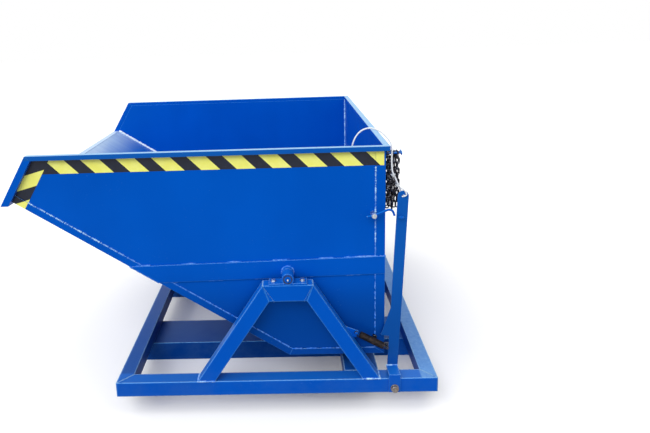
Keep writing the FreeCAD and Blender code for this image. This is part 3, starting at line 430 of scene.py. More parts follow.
def weld_painted(tree):
    """Painted beads, with painted highlights on their crowns, most high up and at the legs' feet.
    """
    grain = tree.noise(300.0, 2.0, 0.5)
    # Painted highlights in small points on the crowns
    crowns = (grain * 0.5 + tree.noise(34.0, 3.0, 0.7) * 0.5).above(0.5, 0.14)
    z = tree.place()[2]
    brightest = z.above(GLINT_FROM, 0.16) + z.below(FEET_TO, 0.04)
    coat = tree.mix(srgb(16, 104, 212), srgb(196, 234, 255), crowns * (0.2 + brightest * 0.75))
    return {"Base Color": coat, "Roughness": 0.12 + grain * 0.12,
            "Normal": bumped(tree, grain, 0.0004)}


def highlit_bead(tree):
    """The slope's beads, painted almost white as a painted highlight."""
    grain = tree.noise(260.0, 2.0, 0.5)
    # Painted highlight: the beads are painted almost white
    coat = tree.mix(srgb(168, 206, 240), srgb(246, 250, 255), grain.above(0.42, 0.3))
    return {"Base Color": coat, "Roughness": 0.2 + grain * 0.2,
            "Normal": bumped(tree, grain, 0.0004)}


weld_paint = finish_of("weld_blue_paint", weld_painted, Specular_IOR_Level=0.8,
                       Specular_Tint=BEAD_GLEAM)
slope_bead = finish_of("slope_weld_highlit", highlit_bead, Specular_IOR_Level=0.6,
                       Specular_Tint=BEAD_GLEAM)
print("weld paint", weld_paint.name, slope_bead.name)

# %% [markdown]
# ## Hazard tape
#
# The tape's stripes fall to the right at 45 degrees along the rim, and on the short strip by the
# lip they are cut almost level. A stripe is a remainder: the distance across the stripes, divided
# by the spacing, leaves more or less than half. The tape is a plastic film, so it lies in faint
# ripples and its black is a little shiny.

# %% Tape
# Spacing, yellow share and soft edge; where the stripes are counted from, and where they begin;
# the lean and heights of the strip by the lip; and the slanting line on which that strip is cut
STRIPE_PITCH, YELLOW_SHARE, STRIPE_EDGE = 0.1576, 0.533, 0.0016
STRIPE_START, FIRST_YELLOW, WHOLE_STRIPES = 0.8612, 0.2308, 30
LIP_LEAN, LIP_LOW, LIP_BLACK, LIP_HIGH = 0.277, 1.3428, 1.3961, 1.4561
CUT_X, CUT_Z, CUT_AT = 0.8587, 0.5125, -1.4613


def taped(tree):
    """Stripes along the rim, and almost level ones on the strip that begins at the cut."""
    x, _, z = tree.place()
    wobble = (tree.noise(40.0, 2.0) - 0.5) * 0.0012
    falling = x + z
    left_over = (falling + WHOLE_STRIPES * STRIPE_PITCH - STRIPE_START + wobble) % STRIPE_PITCH
    side = left_over.below(STRIPE_PITCH * YELLOW_SHARE, STRIPE_EDGE)
    side = side * falling.above(FIRST_YELLOW, STRIPE_EDGE)
    across = z - x * LIP_LEAN + wobble
    upper = across.above(LIP_BLACK, STRIPE_EDGE) * across.below(LIP_HIGH, STRIPE_EDGE)
    lip = upper.math("MAXIMUM", upper, across.below(LIP_LOW, STRIPE_EDGE))
    by_lip = (x * CUT_X - z * CUT_Z).below(CUT_AT)
    yellow = side + (lip - side) * by_lip
    wear = tree.noise(120.0, 4.0, 0.7).above(0.68, 0.1) * 0.3
    bright = tree.mix(srgb(238, 236, 84), srgb(250, 252, 150), tree.noise(25.0, 3.0))
    dark = tree.mix(srgb(14, 18, 32), srgb(30, 37, 56), tree.noise(30.0, 3.0))
    colour = tree.mix(dark, bright, yellow)
    colour = tree.mix(colour, srgb(96, 104, 118), wear * (1.0 - yellow * 0.6))
    ripple = tree.noise(22.0, 3.0, 0.5, tree.stretched(1.0, 1.0, 2.2))
    return {"Base Color": colour, "Roughness": 0.36 + wear * 0.4,
            "Normal": bumped(tree, ripple, 0.0012, strength=0.4)}


tape_finish = finish_of("hazard_tape_film", taped, Specular_IOR_Level=0.35)
print("tape", tape_finish.name)

# %% [markdown]
# ## Metals and rubber
#
# The small parts are plated or bare steel. Plating shows as a soft grey with a fine crystal mottle,
# the bolt heads are duller and a little brown, the spring and the chain are dark with worn bright
# places, the chain has painted glints in patches too, and the rope is bright wire. Worn places are
# found with the same edge mask as the paint's.
# The rests are black rubber, and the bushes have grease on them and paint from the bearings.


# %% Metals
def metal(tree, dull, usual, brightest, grain_scale, rough, corner=0.0012, rust=0.0, rubbed=0.0):
    """Steel in three tones. rust adds brown stains, and sheen adds painted glints in patches."""
    bent, edge = rounded(tree, corner)
    grain = tree.noise(grain_scale, 4.0, 0.65)
    colour = tree.mix(dull, usual, grain.above(0.5, 0.4))
    # Painted glints in bright patches
    glint_spots = tree.noise(110.0, 2.0, 0.5).above(0.6, 0.08) * rubbed
    colour = tree.mix(colour, brightest, edge.math("MAXIMUM", edge * 0.7, glint_spots))
    stain = tree.noise(grain_scale * 0.3, 3.0, 0.6).above(0.56, 0.2) * rust
    colour = tree.mix(colour, srgb(112, 84, 66), stain)
    return {"Base Color": colour, "Roughness": rough + grain * 0.2 + stain * 0.3 - edge * 0.08,
            "Metallic": 1.0 - stain * 0.8,
            "Normal": bumped(tree, grain, 0.0002, bent)}


def metal_finish(name, *tones, **more):
    """A material of that steel."""
    return finish_of(name, lambda tree: metal(tree, *tones, **more))


zinc = metal_finish("zinc_plate", srgb(168, 176, 184), srgb(216, 222, 228), srgb(246, 248, 250),
                    260.0, 0.28)
bolt_steel = metal_finish("bolt_steel", srgb(120, 112, 106), srgb(168, 160, 152),
                          srgb(214, 208, 200), 220.0, 0.36, rust=0.5)
# The chain gets painted glints
chain_steel = metal_finish("chain_steel", srgb(32, 33, 40), srgb(66, 68, 78), srgb(198, 202, 210),
                           300.0, 0.22, corner=0.001, rust=0.2, rubbed=0.8)
spring_steel = metal_finish("spring_steel", srgb(34, 32, 34), srgb(66, 62, 62),
                            srgb(120, 116, 114), 300.0, 0.42, corner=0.0006, rust=0.3)
pin_steel = metal_finish("pin_steel", srgb(46, 50, 62), srgb(82, 88, 104), srgb(170, 176, 190),
                         240.0, 0.34)
print("metals", [m.name for m in (zinc, bolt_steel, chain_steel, spring_steel, pin_steel)])


# %% Rubber and bush
def rubbery(tree):
    """Hard black rubber with dusty patches."""
    bent, edge = rounded(tree, 0.003)
    grain = tree.noise(500.0, 2.0)
    patch = tree.noise(30.0, 3.0)
    return {"Base Color": tree.mix(srgb(26, 26, 28), srgb(52, 52, 54), patch),
            "Roughness": 0.7 + patch * 0.2, "Normal": bumped(tree, grain, 0.0003, bent)}


def greased(tree):
    """Blue paint that grease has darkened."""
    patch = tree.noise(60.0, 3.0, 0.6)
    return {"Base Color": tree.mix(srgb(6, 26, 66), srgb(10, 56, 130), patch.above(0.5, 0.4)),
            "Roughness": 0.25 + patch * 0.25, "Normal": bumped(tree, patch, 0.0004)}


rubber = finish_of("rest_rubber", rubbery)
bush_finish = finish_of("bush_oversprayed", greased)
print("rubber", rubber.name, "bush", bush_finish.name)

# %% [markdown]
# ## Plain meshes out of Geometry Nodes
#
# A tree of Geometry Nodes makes what repeats. It gets its sizes from named inputs, and a modifier
# holds their values by the identifier of each socket. When it has been evaluated, its result is
# copied into a plain mesh, which is what rides on a body.


# %% Geometry Nodes helpers
KINDS = {"float": "NodeSocketFloat", "int": "NodeSocketInt", "vector": "NodeSocketVector",
         "material": "NodeSocketMaterial"}


def plain_mesh(thing):
    """What an object looks like with its modifiers, as a mesh of its own."""
    bpy.context.view_layer.update()
    graph = bpy.context.evaluated_depsgraph_get()
    return bpy.data.meshes.new_from_object(thing.evaluated_get(graph))


def path_edges(lines):
    """The points and edges of several open lines."""
    points, edges = [], []
    for line in lines:
        first = len(points)
        points += [tuple(p) for p in line]
        edges += [(first + k, first + k + 1) for k in range(len(line) - 1)]
    return points, edges


class Grower(Tree):
    """A Geometry Nodes tree with named inputs, which ends in Realize Instances and Set Material."""

    def __init__(self, name, **kinds):
        super().__init__(bpy.data.node_groups.new(name, "GeometryNodeTree"))
        face = self.made.interface
        face.new_socket("Geometry", in_out="INPUT", socket_type="NodeSocketGeometry")
        self.ids = {}
        for key, kind in kinds.items():
            made = face.new_socket(key, in_out="INPUT", socket_type=KINDS[kind])
            self.ids[key] = made.identifier
        face.new_socket("Geometry", in_out="OUTPUT", socket_type="NodeSocketGeometry")
        inlet = self.made.nodes.new("NodeGroupInput")
        self.host = Wire(self, inlet.outputs[0])
        self.given = {key: Wire(self, inlet.outputs[1 + k]) for k, key in enumerate(kinds)}

    def end(self, shape):
        """Closes the tree: real geometry, smooth faces and one material."""
        real = self.node("GeometryNodeRealizeInstances", inputs=[shape])
        smooth = self.node("GeometryNodeSetShadeSmooth", inputs=[real])
        done = self.node("GeometryNodeSetMaterial",
                         inputs={"Geometry": smooth, "Material": self.given["Material"]})
        outlet = self.made.nodes.new("NodeGroupOutput")
        self.made.links.new(done.socket, outlet.inputs[0])
        return self

    def grow(self, name, lines, **values):
        """A plain mesh object from this tree, over a host mesh of open lines."""
        mesh = bpy.data.meshes.new(name + ".host")
        mesh.from_pydata(*path_edges(lines), [])
        host = added(name + ".host", mesh)
        modifier = host.modifiers.new("grow", "NODES")
        modifier.node_group = self.made
        for key, value in values.items():
            modifier[self.ids[key]] = value
        plain = plain_mesh(host)
        plain.name = name
        host.modifiers.remove(modifier)
        bpy.data.objects.remove(host)
        print(name, len(plain.vertices), "points", len(plain.polygons), "faces")
        return added(name, plain)


print("a tree's inputs can be", ", ".join(KINDS))

# %% [markdown]
# ## The release rope
#
# This rope is pulled to free the latch. It is clamped to the lever's top, springs up in an arc over
# the rear corner of the rim, and hangs down inside the hopper, where the spare length lies coiled
# on the floor with a ring at its end. It is one smooth curve, a NURBS spline, and the numbers are
# its control points. The coil's points come from a rule: the turns wind in on the floor, then out
# again on top. The spline cuts inside its points, so the coil's stand a little outside the turns.

# %% Route of the rope
HANG = [(0.5402, -0.8717, 1.1309), (0.536, -0.8708, 1.1629), (0.5385, -0.866, 1.2069),
        (0.538, -0.8615, 1.25), (0.519, -0.8575, 1.281), (0.488, -0.852, 1.3105),
        (0.444, -0.8455, 1.3265), (0.401, -0.839, 1.3095), (0.374, -0.834, 1.267),
        (0.363, -0.832, 1.2061), (0.359, -0.828, 1.1224), (0.352, -0.822, 1.0297),
        (0.355, -0.815, 0.9339), (0.348, -0.818, 0.8362), (0.35, -0.811, 0.7385),
        (0.342, -0.807, 0.6378), (0.344, -0.801, 0.5401), (0.337, -0.806, 0.4484),
        (0.328, -0.812, 0.3736), (0.316, -0.817, 0.3178), (0.304, -0.812, 0.2759),
        (0.3017, -0.777, 0.254)]
COIL_MIDDLE = (0.25, -0.735)
COIL_OUT = 0.0507
COIL_STEP = 0.00195
COIL_LOW, COIL_HIGH = 0.254, 0.2618
TAIL = [(0.222, -0.6836, 0.2602), (0.194, -0.6829, 0.257), (0.18, -0.6826, 0.257)]
# Control points in a turn of the coil, quarter turns inwards, and quarter turns in all
PER_TURN = 12
QUARTERS_IN, QUARTERS = 12, 25
reach_out = 1 / (0.75 + 0.25 * math.cos(2 * math.pi / PER_TURN))


def coil_point(quarter):
    """A control point of the coil, so many quarter turns from where the rope meets the floor."""
    radius = (COIL_OUT - COIL_STEP * min(quarter, QUARTERS_IN, QUARTERS - quarter)) * reach_out
    rise = min(max(quarter - QUARTERS_IN, 0), 1)
    angle = math.pi / 2 * quarter
    return (COIL_MIDDLE[0] + radius * math.cos(angle), COIL_MIDDLE[1] + radius * math.sin(angle),
            COIL_LOW + (COIL_HIGH - COIL_LOW) * rise)


quarters = [4 * k / PER_TURN for k in range(1, QUARTERS * PER_TURN // 4 + 1)]
control = [at(*place) for place in HANG + [coil_point(q) for q in quarters] + TAIL]


def smooth_line(name, places):
    """The points along a NURBS spline that has these control points."""
    curve = bpy.data.curves.new(name, "CURVE")
    curve.dimensions = "3D"
    curve.resolution_u = 8
    spline = curve.splines.new("NURBS")
    spline.points.add(len(places) - 1)
    for point, place in zip(spline.points, places):
        point.co = (*place, 1.0)
    spline.order_u = 3
    spline.use_endpoint_u = True
    carrier = added(name, curve)
    line = [v.co.copy() for v in plain_mesh(carrier).vertices]
    bpy.data.objects.remove(carrier)
    return line


rope_line = smooth_line("rope_route", control)

# %% [markdown]
# ## Twisted strands
#
# The rope is laid from six strands round a core. In Geometry Nodes this is one sweep: the profile
# is a ring of small circles, and the curve's tilt grows with its length, which twists the whole
# bundle. The strands press into each other, so each is a little thicker than a ring of loose ones
# would be. The wire is galvanised, a light grey with a fine grain.

# %% Rope tree
ROPE, ROPE_LAY = 0.007, 0.042
STRANDS, PRESSED = 6, 1.1
strand_radius = ROPE / 2 / (1 + 1 / math.sin(math.pi / STRANDS)) * PRESSED

laid = Grower("laid_rope", Step="float", Lay="float", Ring="float", Strand="float",
              Material="material")
line = laid.node("GeometryNodeMeshToCurve", inputs=[laid.host])
line = laid.node("GeometryNodeResampleCurve", {"mode": "LENGTH"},
                 {"Curve": line, "Length": laid.given["Step"]})
along = laid.node("GeometryNodeSplineParameter", output="Length")
line = laid.node("GeometryNodeSetCurveTilt",
                 inputs={"Curve": line, "Tilt": along / laid.given["Lay"] * (2 * math.pi)})
ring = laid.node("GeometryNodeMeshCircle", inputs={"Vertices": STRANDS,
                                                   "Radius": laid.given["Ring"]})
strand = laid.node("GeometryNodeCurvePrimitiveCircle",
                   inputs={"Resolution": 7, "Radius": laid.given["Strand"]})
strands = laid.node("GeometryNodeInstanceOnPoints", inputs={"Points": ring, "Instance": strand})
core_radius = laid.given["Ring"] - laid.given["Strand"] * 0.6
core = laid.node("GeometryNodeCurvePrimitiveCircle",
                 inputs={"Resolution": 6, "Radius": core_radius})
profile = laid.node("GeometryNodeRealizeInstances", inputs=[laid.joined(strands, core)])
laid.end(laid.node("GeometryNodeCurveToMesh",
                   inputs={"Curve": line, "Profile Curve": profile, "Fill Caps": True}))
print("each strand is", round(strand_radius * 2000, 2), "mm thick")


# %% Rope finish
def wired(tree):
    """Bright galvanised wire."""
    grain = tree.noise(420.0, 3.0, 0.6)
    colour = tree.mix(srgb(190, 200, 212), srgb(244, 247, 252), grain.above(0.42, 0.4))
    return {"Base Color": colour, "Roughness": 0.32 + grain * 0.16,
            "Normal": bumped(tree, grain, 0.0002)}


rope_wire = finish_of("rope_wire", wired, Metallic=0.2, Coat_Weight=0.3, Coat_Roughness=0.15)
rope = laid.grow("rope", [rope_line], Step=0.0042, Lay=ROPE_LAY,
                 Ring=ROPE / 2 - strand_radius, Strand=strand_radius, Material=rope_wire)

# %% [markdown]
# ## The rope's eye
#
# The rope's end comes down behind the lever's edge, hooks round through the hole and goes back up
# on the other side into two clips. Its line is written as distances along the rope, to one side
# across the lever, and behind the rope.

# %% Rope eye
LEVER_TOP = (0.588, -0.8755, 1.021)
ROPE_LEAN = math.radians(23.5)
EYE_LINE = [(0.1203, -0.0038, 0), (0.085, -0.0038, 0), (0.055, -0.0038, 0), (0.045, -0.0042, 0.001),
            (0.034, -0.0065, 0.0085), (0.024, -0.0078, 0.0150), (0.0156, -0.0081, 0.0162),
            (-0.0006, -0.0081, 0.0162), (-0.0006, -0.0081, 0), (-0.0006, 0.0081, 0),
            (0.0156, 0.0081, 0), (0.024, 0.0081, 0), (0.033, 0.0077, 0), (0.045, 0.0042, 0),
            (0.055, 0.0038, 0), (0.085, 0.0038, 0), (0.1188, 0.0038, 0)]


def on_eye(along, aside, behind):
    """A place on the eye's line, as a place of the whole skip."""
    return at(LEVER_TOP[0] - math.sin(ROPE_LEAN) * along + math.cos(ROPE_LEAN) * behind,
              LEVER_TOP[1] + aside,
              LEVER_TOP[2] + math.cos(ROPE_LEAN) * along + math.sin(ROPE_LEAN) * behind)


eye_line = smooth_line("eye_route", [on_eye(*place) for place in EYE_LINE])
rope_eye = laid.grow("rope_eye_laid", [eye_line], Step=0.003, Lay=ROPE_LAY,
                     Ring=ROPE / 2 - strand_radius, Strand=strand_radius, Material=rope_wire)

# %% [markdown]
# ## Weld beads
#
# The skip is welded from cut sheet and tube, and the painted beads show as lines of small bright
# ripples. A bead could be a bumpy tube, but drops laid over each other along the seam look more
# like the real one and follow any line. Each drop is a small ball, and seeded random values give it
# a size and a turn of its own.

# %% Bead tree
DROP_SMALL, DROP_LARGE, ANY_TURN = 0.72, 1.12, 3.1
bead = Grower("weld_bead", Pitch="float", Radius="float", Seed="int", Material="material")
line = bead.node("GeometryNodeMeshToCurve", inputs=[bead.host])
line = bead.node("GeometryNodeResampleCurve", {"mode": "LENGTH"},
                 {"Curve": line, "Length": bead.given["Pitch"]})
drop = bead.node("GeometryNodeMeshIcoSphere", inputs={"Radius": bead.given["Radius"],
                                                      "Subdivisions": 2})
swell = bead.node("FunctionNodeRandomValue", {"data_type": "FLOAT"},
                  {2: DROP_SMALL, 3: DROP_LARGE, "Seed": bead.given["Seed"]}, 1)
turned = bead.node("FunctionNodeRandomValue", {"data_type": "FLOAT_VECTOR"},
                   {0: (0, 0, 0), 1: (ANY_TURN,) * 3, "Seed": bead.given["Seed"]}, 0)
bead.end(bead.node("GeometryNodeInstanceOnPoints",
                   inputs={"Points": line, "Instance": drop, "Rotation": turned, "Scale": swell}))
print("drops are", DROP_SMALL, "to", DROP_LARGE, "of a bead's radius")


# %% Lines for beads
def both_sides(lines):
    """Lines on the near side, and the same lines on the far side."""
    return lines + [[(x, -y, z) for x, y, z in line] for line in lines]


def placed(lines):
    """Lines measured from the middle of the base, as lines of the whole skip."""
    return [[at(*place) for place in line] for line in lines]


def stitches(start, end, length, gap):
    """Short beads along a line, with gaps between them."""
    first, last = Vector(start), Vector(end)
    way = (last - first).normalized()
    room, done, beads = (last - first).length, 0.0, []
    while done < room:
        beads.append([first + way * done, first + way * min(done + length, room)])
        done += length + gap
    return beads


def ring_line(x, y, z, radius, points=32):
    """A closed ring that stands across the skip's width."""
    turns = [2 * math.pi * k / points for k in range(points + 1)]
    return [(x + radius * math.cos(turn), y, z + radius * math.sin(turn)) for turn in turns]


def weld(name, lines, pitch, radius, seed, finish=weld_paint):
    """One piece of beads along lines that are measured from the middle of the base."""
    return bead.grow(name, placed(lines), Pitch=pitch, Radius=radius, Seed=seed, Material=finish)


print("ten centimetres of stitches:", len(stitches((0, 0, 0), (0.1, 0, 0), 0.034, 0.012)), "beads")

# %% [markdown]
# ## Where the beads run
#
# On the hopper the side walls are stitched to the folded edges of the slope, floor and rear sheets,
# and fully welded inside. The side beams are stitched to the walls. On the base each leg is welded
# round its foot, each bearing's plate at its ends, and the front and rear rails to the fork pockets
# that they cross.

# %% Hopper welds outside
PIVOT_X, PIVOT_Z = 0.07, 0.670
WALL, BEAM_WALL = -0.8575, -0.8580
LIP_X, LIP_Z, FLOOR_X, FLOOR_Z = -1.0855, 1.0274, 0.0824, 0.276
REAR_X, BEAM_UNDER, BEAM_OVER, TAPE_UNDER = 0.470, 0.650, 0.737, 1.157
wall_seams = stitches((LIP_X, WALL, LIP_Z), (FLOOR_X, WALL, FLOOR_Z), 0.034, 0.012)
wall_seams += stitches((FLOOR_X, WALL, FLOOR_Z), (REAR_X, WALL, FLOOR_Z), 0.04, 0.03)
wall_seams += stitches((REAR_X, WALL, FLOOR_Z), (REAR_X, WALL, BEAM_UNDER), 0.03, 0.02)
wall_seams += stitches((REAR_X, WALL, BEAM_OVER), (REAR_X, WALL, TAPE_UNDER), 0.022, 0.008)
beam_welds = stitches((-0.6225, BEAM_WALL, 0.7128), (0.2775, BEAM_WALL, 0.7308), 0.06, 0.15)
beam_welds += [[(0.3325, BEAM_WALL, 0.7318), (0.4775, BEAM_WALL, 0.7345)],
               [(0.4925, -0.8615, 0.7350), (0.513, -0.8615, 0.7355)]]
beam_welds += stitches((-0.5025, BEAM_WALL, 0.6288), (0.4775, BEAM_WALL, 0.6484), 0.06, 0.15)
beam_welds += [[(-0.6544, -0.8605, 0.7109), (-0.5278, -0.8605, 0.6294)]]
collar = [ring_line(PIVOT_X, -0.8650, PIVOT_Z, 0.0275)]
hopper_welds = weld("hopper_welds", both_sides(wall_seams + beam_welds + collar),
                    pitch=0.0060, radius=0.0042, seed=3)

# %% Hopper welds inside
INSIDE, INNER_REAR, INNER_FLOOR = -0.8510, 0.5065, 0.2525
inner = [(0.0710, INSIDE, INNER_FLOOR), (INNER_REAR, INSIDE, INNER_FLOOR),
         (INNER_REAR, INSIDE, 1.225)]
across = [(INNER_REAR, -0.848, INNER_FLOOR), (INNER_REAR, 0.848, INNER_FLOOR)]
inner_welds = weld("hopper_inner_welds", both_sides([inner]) + [across],
                   pitch=0.0072, radius=0.0064, seed=5)
slope_seam = [(-1.150, -0.8500, 1.0385), (0.0710, -0.8500, 0.2535)]
slope_welds = weld("hopper_slope_welds", both_sides([slope_seam]),
                   pitch=0.0070, radius=0.0088, seed=6, finish=slope_bead)

# %% Base welds
TUBE_TOP, LEG_OUTSIDE, LEG_INSIDE = 0.171, -0.9495, -0.8895
PLATE_HALF, PLATE_TOP = 0.0195, 0.6515
POCKET_TOP, POCKET_SIDES = 0.1005, (-0.49, -0.25, 0.25, 0.49)
RAILS = ((-0.741, -0.679), (0.679, 0.741))


def foot_line(x0, x1):
    """Round a leg's foot, from x0 to x1 along the side rail."""
    corners = ((x0, LEG_OUTSIDE), (x1, LEG_OUTSIDE), (x1, LEG_INSIDE), (x0, LEG_INSIDE),
               (x0, LEG_OUTSIDE))
    return [(x, y, TUBE_TOP) for x, y in corners]


base_lines = [foot_line(-0.361, -0.2815), foot_line(0.402, 0.480)]
for end in (PIVOT_X - PLATE_HALF, PIVOT_X + PLATE_HALF):
    base_lines.append([(end, -0.947, PLATE_TOP), (end, -0.893, PLATE_TOP)])
base_lines = both_sides(base_lines)
for front, back in RAILS:
    base_lines += [[(front, y, POCKET_TOP), (back, y, POCKET_TOP)] for y in POCKET_SIDES]
base_welds = weld("base_welds", base_lines, pitch=0.0060, radius=0.0046, seed=8)

# %% Ground mitres
# The mitred corners are ground nearly flush, so only a low line is left.
LEG_FACE = -0.9494
mitres = [[(side * 0.7430, -0.948, 0.1694), (side * 0.677, -0.882, 0.1694)] for side in (-1, 1)]
mitres += [[(-0.044, LEG_FACE, 0.6420), (0.0057, LEG_FACE, 0.5665)],
           [(0.182, LEG_FACE, 0.6420), (0.1408, LEG_FACE, 0.5665)]]
mitre_welds = weld("mitre_welds", both_sides(mitres), pitch=0.0042, radius=0.0019, seed=9,
                   finish=tube_paint)

# %% Lever weld
lever_seam = [(0.5210, -0.8800, 0.1945), (0.5710, -0.8800, 0.1945)]
lever_welds = weld("lever_welds", [lever_seam], pitch=0.005, radius=0.0036, seed=11)

# %% [markdown]
# ## The safety chain
#
# The spare chain hangs behind the rear wall as a dense bundle of strands. Links repeat, so a tree
# sets one link on each point of a strand's line and turns every second one by a quarter turn, as
# links lie in each other. Each link is also turned a little at random.

# %% Chain tree
LINK_WIRE, LINK_LONG, LINK_WIDE, LINK_PITCH = 0.0064, 0.026, 0.0164, 0.0247
SWAY = 0.3
linked = Grower("hanging_chain", Pitch="float", Long="float", Wide="float", Wire="float",
                Seed="int", Material="material")
line = linked.node("GeometryNodeMeshToCurve", inputs=[linked.host])
line = linked.node("GeometryNodeResampleCurve", {"mode": "LENGTH"},
                   {"Curve": line, "Length": linked.given["Pitch"]})
oval = linked.node("GeometryNodeCurvePrimitiveQuadrilateral",
                   inputs={"Width": linked.given["Wide"],
                           "Height": linked.given["Long"] + linked.given["Wire"]})
oval = linked.node("GeometryNodeFilletCurve", {"mode": "POLY"},
                   {"Curve": oval, "Count": 5, "Radius": linked.given["Wide"] * 0.49})
section = linked.node("GeometryNodeCurvePrimitiveCircle",
                      inputs={"Resolution": 8, "Radius": linked.given["Wire"] * 0.5})
one_link = linked.node("GeometryNodeCurveToMesh", inputs={"Curve": oval, "Profile Curve": section})
one_link = linked.node("GeometryNodeTransform",
                       inputs={"Geometry": one_link, "Rotation": (math.pi / 2, 0, 0)})
count = linked.node("GeometryNodeInputIndex")
sway = linked.node("FunctionNodeRandomValue", {"data_type": "FLOAT"},
                   {2: -SWAY, 3: SWAY, "Seed": linked.given["Seed"]}, 1)
turn = linked.node("ShaderNodeCombineXYZ", inputs={"Z": (count + 1) % 2 * (math.pi / 2) + sway})
linked.end(linked.node("GeometryNodeInstanceOnPoints",
                       inputs={"Points": line, "Instance": one_link, "Rotation": turn}))
print("a link is", LINK_LONG + LINK_WIRE, "m long over all")

# %% Chain
# Each strand: how far behind the box's corner, how far aside at its top and foot, links, pitch
STRANDS_HUNG = [(0.0119, 0.0119, 0.0119, 10, 0.0255), (0.0344, 0.0119, 0.0119, 8, 0.0250),
                (0.0569, 0.0119, 0.0130, 10, 0.0251), (0.0231, 0.0359, 0.0230, 10, 0.0249),
                (0.0456, 0.0359, 0.0245, 10, 0.0256), (0.0119, 0.0359, 0.0359, 10, 0.0252),
                (0.0344, 0.0359, 0.0359, 10, 0.0256), (0.0569, 0.0359, 0.0350, 8, 0.0250)]
chain_low, chain_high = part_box("safety_chain")
chain_top = chain_high.z - (LINK_LONG / 2 + LINK_WIRE)
chain_lines = []
for behind, aside, aside_low, links, pitch in STRANDS_HUNG:
    strand_line = [(chain_low.x + behind, chain_low.y + aside, chain_top)]
    for depth in (2 * pitch, (links - 1) * pitch):
        strand_line.append((chain_low.x + behind, chain_low.y + aside_low, chain_top - depth))
    chain_lines.append(strand_line)
chain = linked.grow("safety_chain_links", chain_lines, Pitch=LINK_PITCH, Long=LINK_LONG,
                    Wide=LINK_WIDE, Wire=LINK_WIRE, Seed=4, Material=chain_steel)

# %% [markdown]
# ## The return spring
#
# The spring pulls the latch lever back to the catch. It is wound from round wire with its turns
# nearly touching, and its ends are bent round two studs. The turns are Blender's own spiral, set
# between the studs, and the hooks are short lines that join it. The spring is fixed to the frame at
# one end and to the lever at the other, but here it rides on neither body.

# %% Spring between its studs
LEG_STUD, LEVER_STUD = Vector(at(0.3774, -0.9, 0.3778)), Vector(at(0.5196, -0.9, 0.2972))
SPRING_WIRE, SPRING_TURNS, SPRING_PITCH, SPRING_RADIUS = 0.004, 27, 0.00455, 0.014
LOOP_RADIUS, LOOP_GAP, LOOP_TURN, LOOP_STEPS = 0.0063, 0.014, math.radians(270), 12
NECK_OUT, NECK_UP = 0.005, 0.0125
spring_way = (LEVER_STUD - LEG_STUD).normalized()
spring_side = Vector((0, 1, 0))
spring_up = spring_side.cross(spring_way)
spring_middle = (LEG_STUD + LEVER_STUD) / 2
coil_half = SPRING_TURNS * SPRING_PITCH / 2


def spring_hook(sign):
    """The line from the last turn round a stud."""
    outward = spring_way * sign
    centre = spring_middle + outward * (coil_half + LOOP_GAP + LOOP_RADIUS)
    line = [spring_middle + outward * coil_half + spring_up * SPRING_RADIUS,
            spring_middle + outward * (coil_half + NECK_OUT) + spring_up * NECK_UP]
    for k in range(LOOP_STEPS + 1):
        turn = LOOP_TURN * k / LOOP_STEPS
        line.append(centre + (spring_up * math.cos(turn) + outward * math.sin(turn)) * LOOP_RADIUS)
    return line


print("the studs are", round((LEVER_STUD - LEG_STUD).length, 3), "m apart")

# %% Spring
wound = Grower("wound_spring", Turns="float", Radius="float", Height="float", Wire="float",
               Place="vector", Turn="vector", Material="material")
spiral = wound.node("GeometryNodeCurveSpiral",
                    inputs={"Resolution": 26, "Rotations": wound.given["Turns"],
                            "Start Radius": wound.given["Radius"],
                            "End Radius": wound.given["Radius"], "Height": wound.given["Height"]})
spiral = wound.node("GeometryNodeTransform",
                    inputs={"Geometry": spiral, "Translation": wound.given["Place"],
                            "Rotation": wound.given["Turn"]})
hooks = wound.node("GeometryNodeMeshToCurve", inputs=[wound.host])
wire_ring = wound.node("GeometryNodeCurvePrimitiveCircle",
                       inputs={"Resolution": 10, "Radius": wound.given["Wire"]})
wound.end(wound.node("GeometryNodeCurveToMesh",
                     inputs={"Curve": wound.joined(spiral, hooks), "Profile Curve": wire_ring,
                             "Fill Caps": True}))
spring_turn = Matrix((spring_up, spring_side, spring_way)).transposed().to_euler()
spring = wound.grow("return_spring", [spring_hook(-1), spring_hook(1)], Turns=float(SPRING_TURNS),
                    Radius=SPRING_RADIUS, Height=SPRING_TURNS * SPRING_PITCH, Wire=SPRING_WIRE / 2,
                    Place=tuple(spring_middle - spring_way * coil_half),
                    Turn=tuple(spring_turn), Material=spring_steel)

# %% [markdown]
# ## A finish for each solid
#
# Every node of the frame keeps its shape and gets a finish. The table lists what isn't painted, and
# the lever's duller paint. Everything else is blue, and what is made of square tube gets the paint
# with the rounder corners.

# %% Finish table
finishes = {
    "hazard_tape_near": tape_finish, "hazard_tape_far": tape_finish,
    "latch_bolt": bolt_steel, "latch_nut": zinc, "bearing_bolts": zinc, "hook_bolt": zinc,
    "bush_near": bush_finish, "bush_far": bush_finish, "rest_pads": rubber,
    "catch_pin": pin_steel, "spring_stud": pin_steel, "grease_nipples": zinc,
    "rope_eye": rope_wire, "rope_clips": zinc, "rope_ferrule": zinc, "pull_ring": zinc,
    "safety_chain": chain_steel, "chain_hook": chain_steel,
    "lever_bar": lever_paint, "lever_tooth": lever_paint,
    "latch_spring": spring_steel, "release_rope": rope_wire, "rope_coil": rope_wire,
}
tubes = ("side_rail", "front_rail", "rear_rail", "fork_pocket", "rear_tie", "rest_posts", "leg_",
         "top_rail")
for name, node in nodes.items():
    paint = tube_paint if name.startswith(tubes) else blue_paint
    node.data.materials.clear()
    node.data.materials.append(finishes.get(name, paint))
print("finishes given to", len(nodes), "nodes")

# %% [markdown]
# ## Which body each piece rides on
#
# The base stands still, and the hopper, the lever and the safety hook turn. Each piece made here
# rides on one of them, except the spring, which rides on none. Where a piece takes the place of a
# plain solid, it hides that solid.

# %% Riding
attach(rope, "hopper")
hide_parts("release_rope", "rope_coil")
at(*HANG[0])
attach(chain, "hopper")
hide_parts("safety_chain")
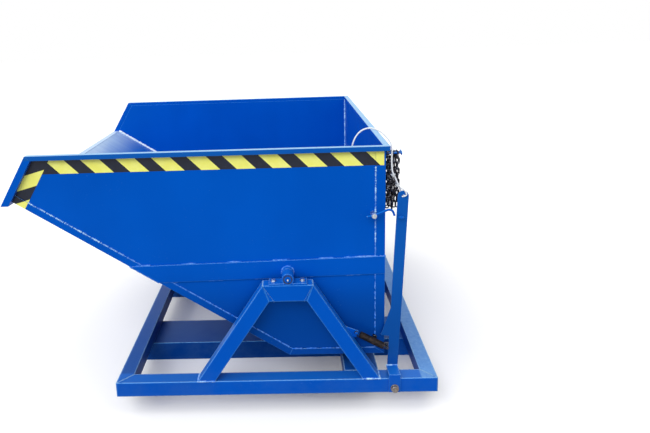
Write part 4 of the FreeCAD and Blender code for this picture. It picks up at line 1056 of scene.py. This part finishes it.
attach(rope_eye, "lever")
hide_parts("rope_eye")
for piece, body in ((hopper_welds, "hopper"), (inner_welds, "hopper"), (slope_welds, "hopper"),
                    (base_welds, "base"), (mitre_welds, "base"), (lever_welds, "lever")):
    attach(piece, body)
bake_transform(spring)
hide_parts("latch_spring")
print("pieces ride on their bodies")

# %% [markdown]
# ## Floor and light
#
# The skip stands on a pale floor in a plain white room. The floor takes the skip's shadow. Two wide
# suns and an even sky light it at a level where a colour looks as it is written.


# %% Floor
FLOOR_REACH = 30


def rays(tree):
    """Masks that are 1 on rays from the camera, through glass, and off a shiny face."""
    seen = tree.node("ShaderNodeLightPath", output="Is Camera Ray")
    return seen, seen.beside("Is Transmission Ray"), seen.beside("Is Glossy Ray")


def floored(tree):
    """White to the camera, and a plain grey to the light that it throws back on the skip."""
    seen, through, glossy = rays(tree)
    shown = seen.math("MAXIMUM", seen, seen.math("MAXIMUM", through, glossy * 0.5))
    speck = tree.noise(3.0, 2.0)
    near = tree.mix(srgb(138, 138, 138), srgb(144, 144, 144), speck)
    return {"Base Color": tree.mix(near, (1.0, 1.0, 1.0, 1.0), shown), "Roughness": 0.9}


floor_finish = finish_of("floor_pale", floored, Specular_IOR_Level=0.0)
mesh = bpy.data.meshes.new("floor")
corners = [(FLOOR_REACH * x, FLOOR_REACH * y, 0) for x, y in ((-1, -1), (1, -1), (1, 1), (-1, 1))]
mesh.from_pydata(corners, [], [(0, 1, 2, 3)])
mesh.materials.append(floor_finish)
floor = added("floor", mesh)
print("the floor is", 2 * FLOOR_REACH, "m wide")

# %% Light
SKY = 0.9
world = bpy.data.worlds.new("room")
bpy.context.scene.world = world
world.use_nodes = True
world.node_tree.nodes.clear()
sky = Tree(world.node_tree)
seen, through, glossy = rays(sky)
strength = SKY + seen.math("MAXIMUM", seen, through) * (1 - SKY) + glossy * 0.06
backdrop = sky.node("ShaderNodeBackground", inputs={"Color": (1, 1, 1, 1), "Strength": strength})
outlet = sky.made.nodes.new("ShaderNodeOutputWorld")
sky.made.links.new(backdrop.socket, outlet.inputs["Surface"])


def sun(name, energy, way, spread):
    """A sun that shines along way, as wide as spread in degrees."""
    light = bpy.data.lights.new(name, "SUN")
    light.energy = energy
    light.angle = math.radians(spread)
    added(name, light).rotation_euler = Vector(way).to_track_quat("-Z", "Y").to_euler()


sun("sun_front", 1.15, (0.25, 0.85, -0.75), 30)
sun("sun_left", 1.0, (0.85, 0.35, -0.8), 50)
bpy.context.scene.view_settings.view_transform = "Standard"
print("the sky's strength is", SKY, "on the skip and 1 in the picture")
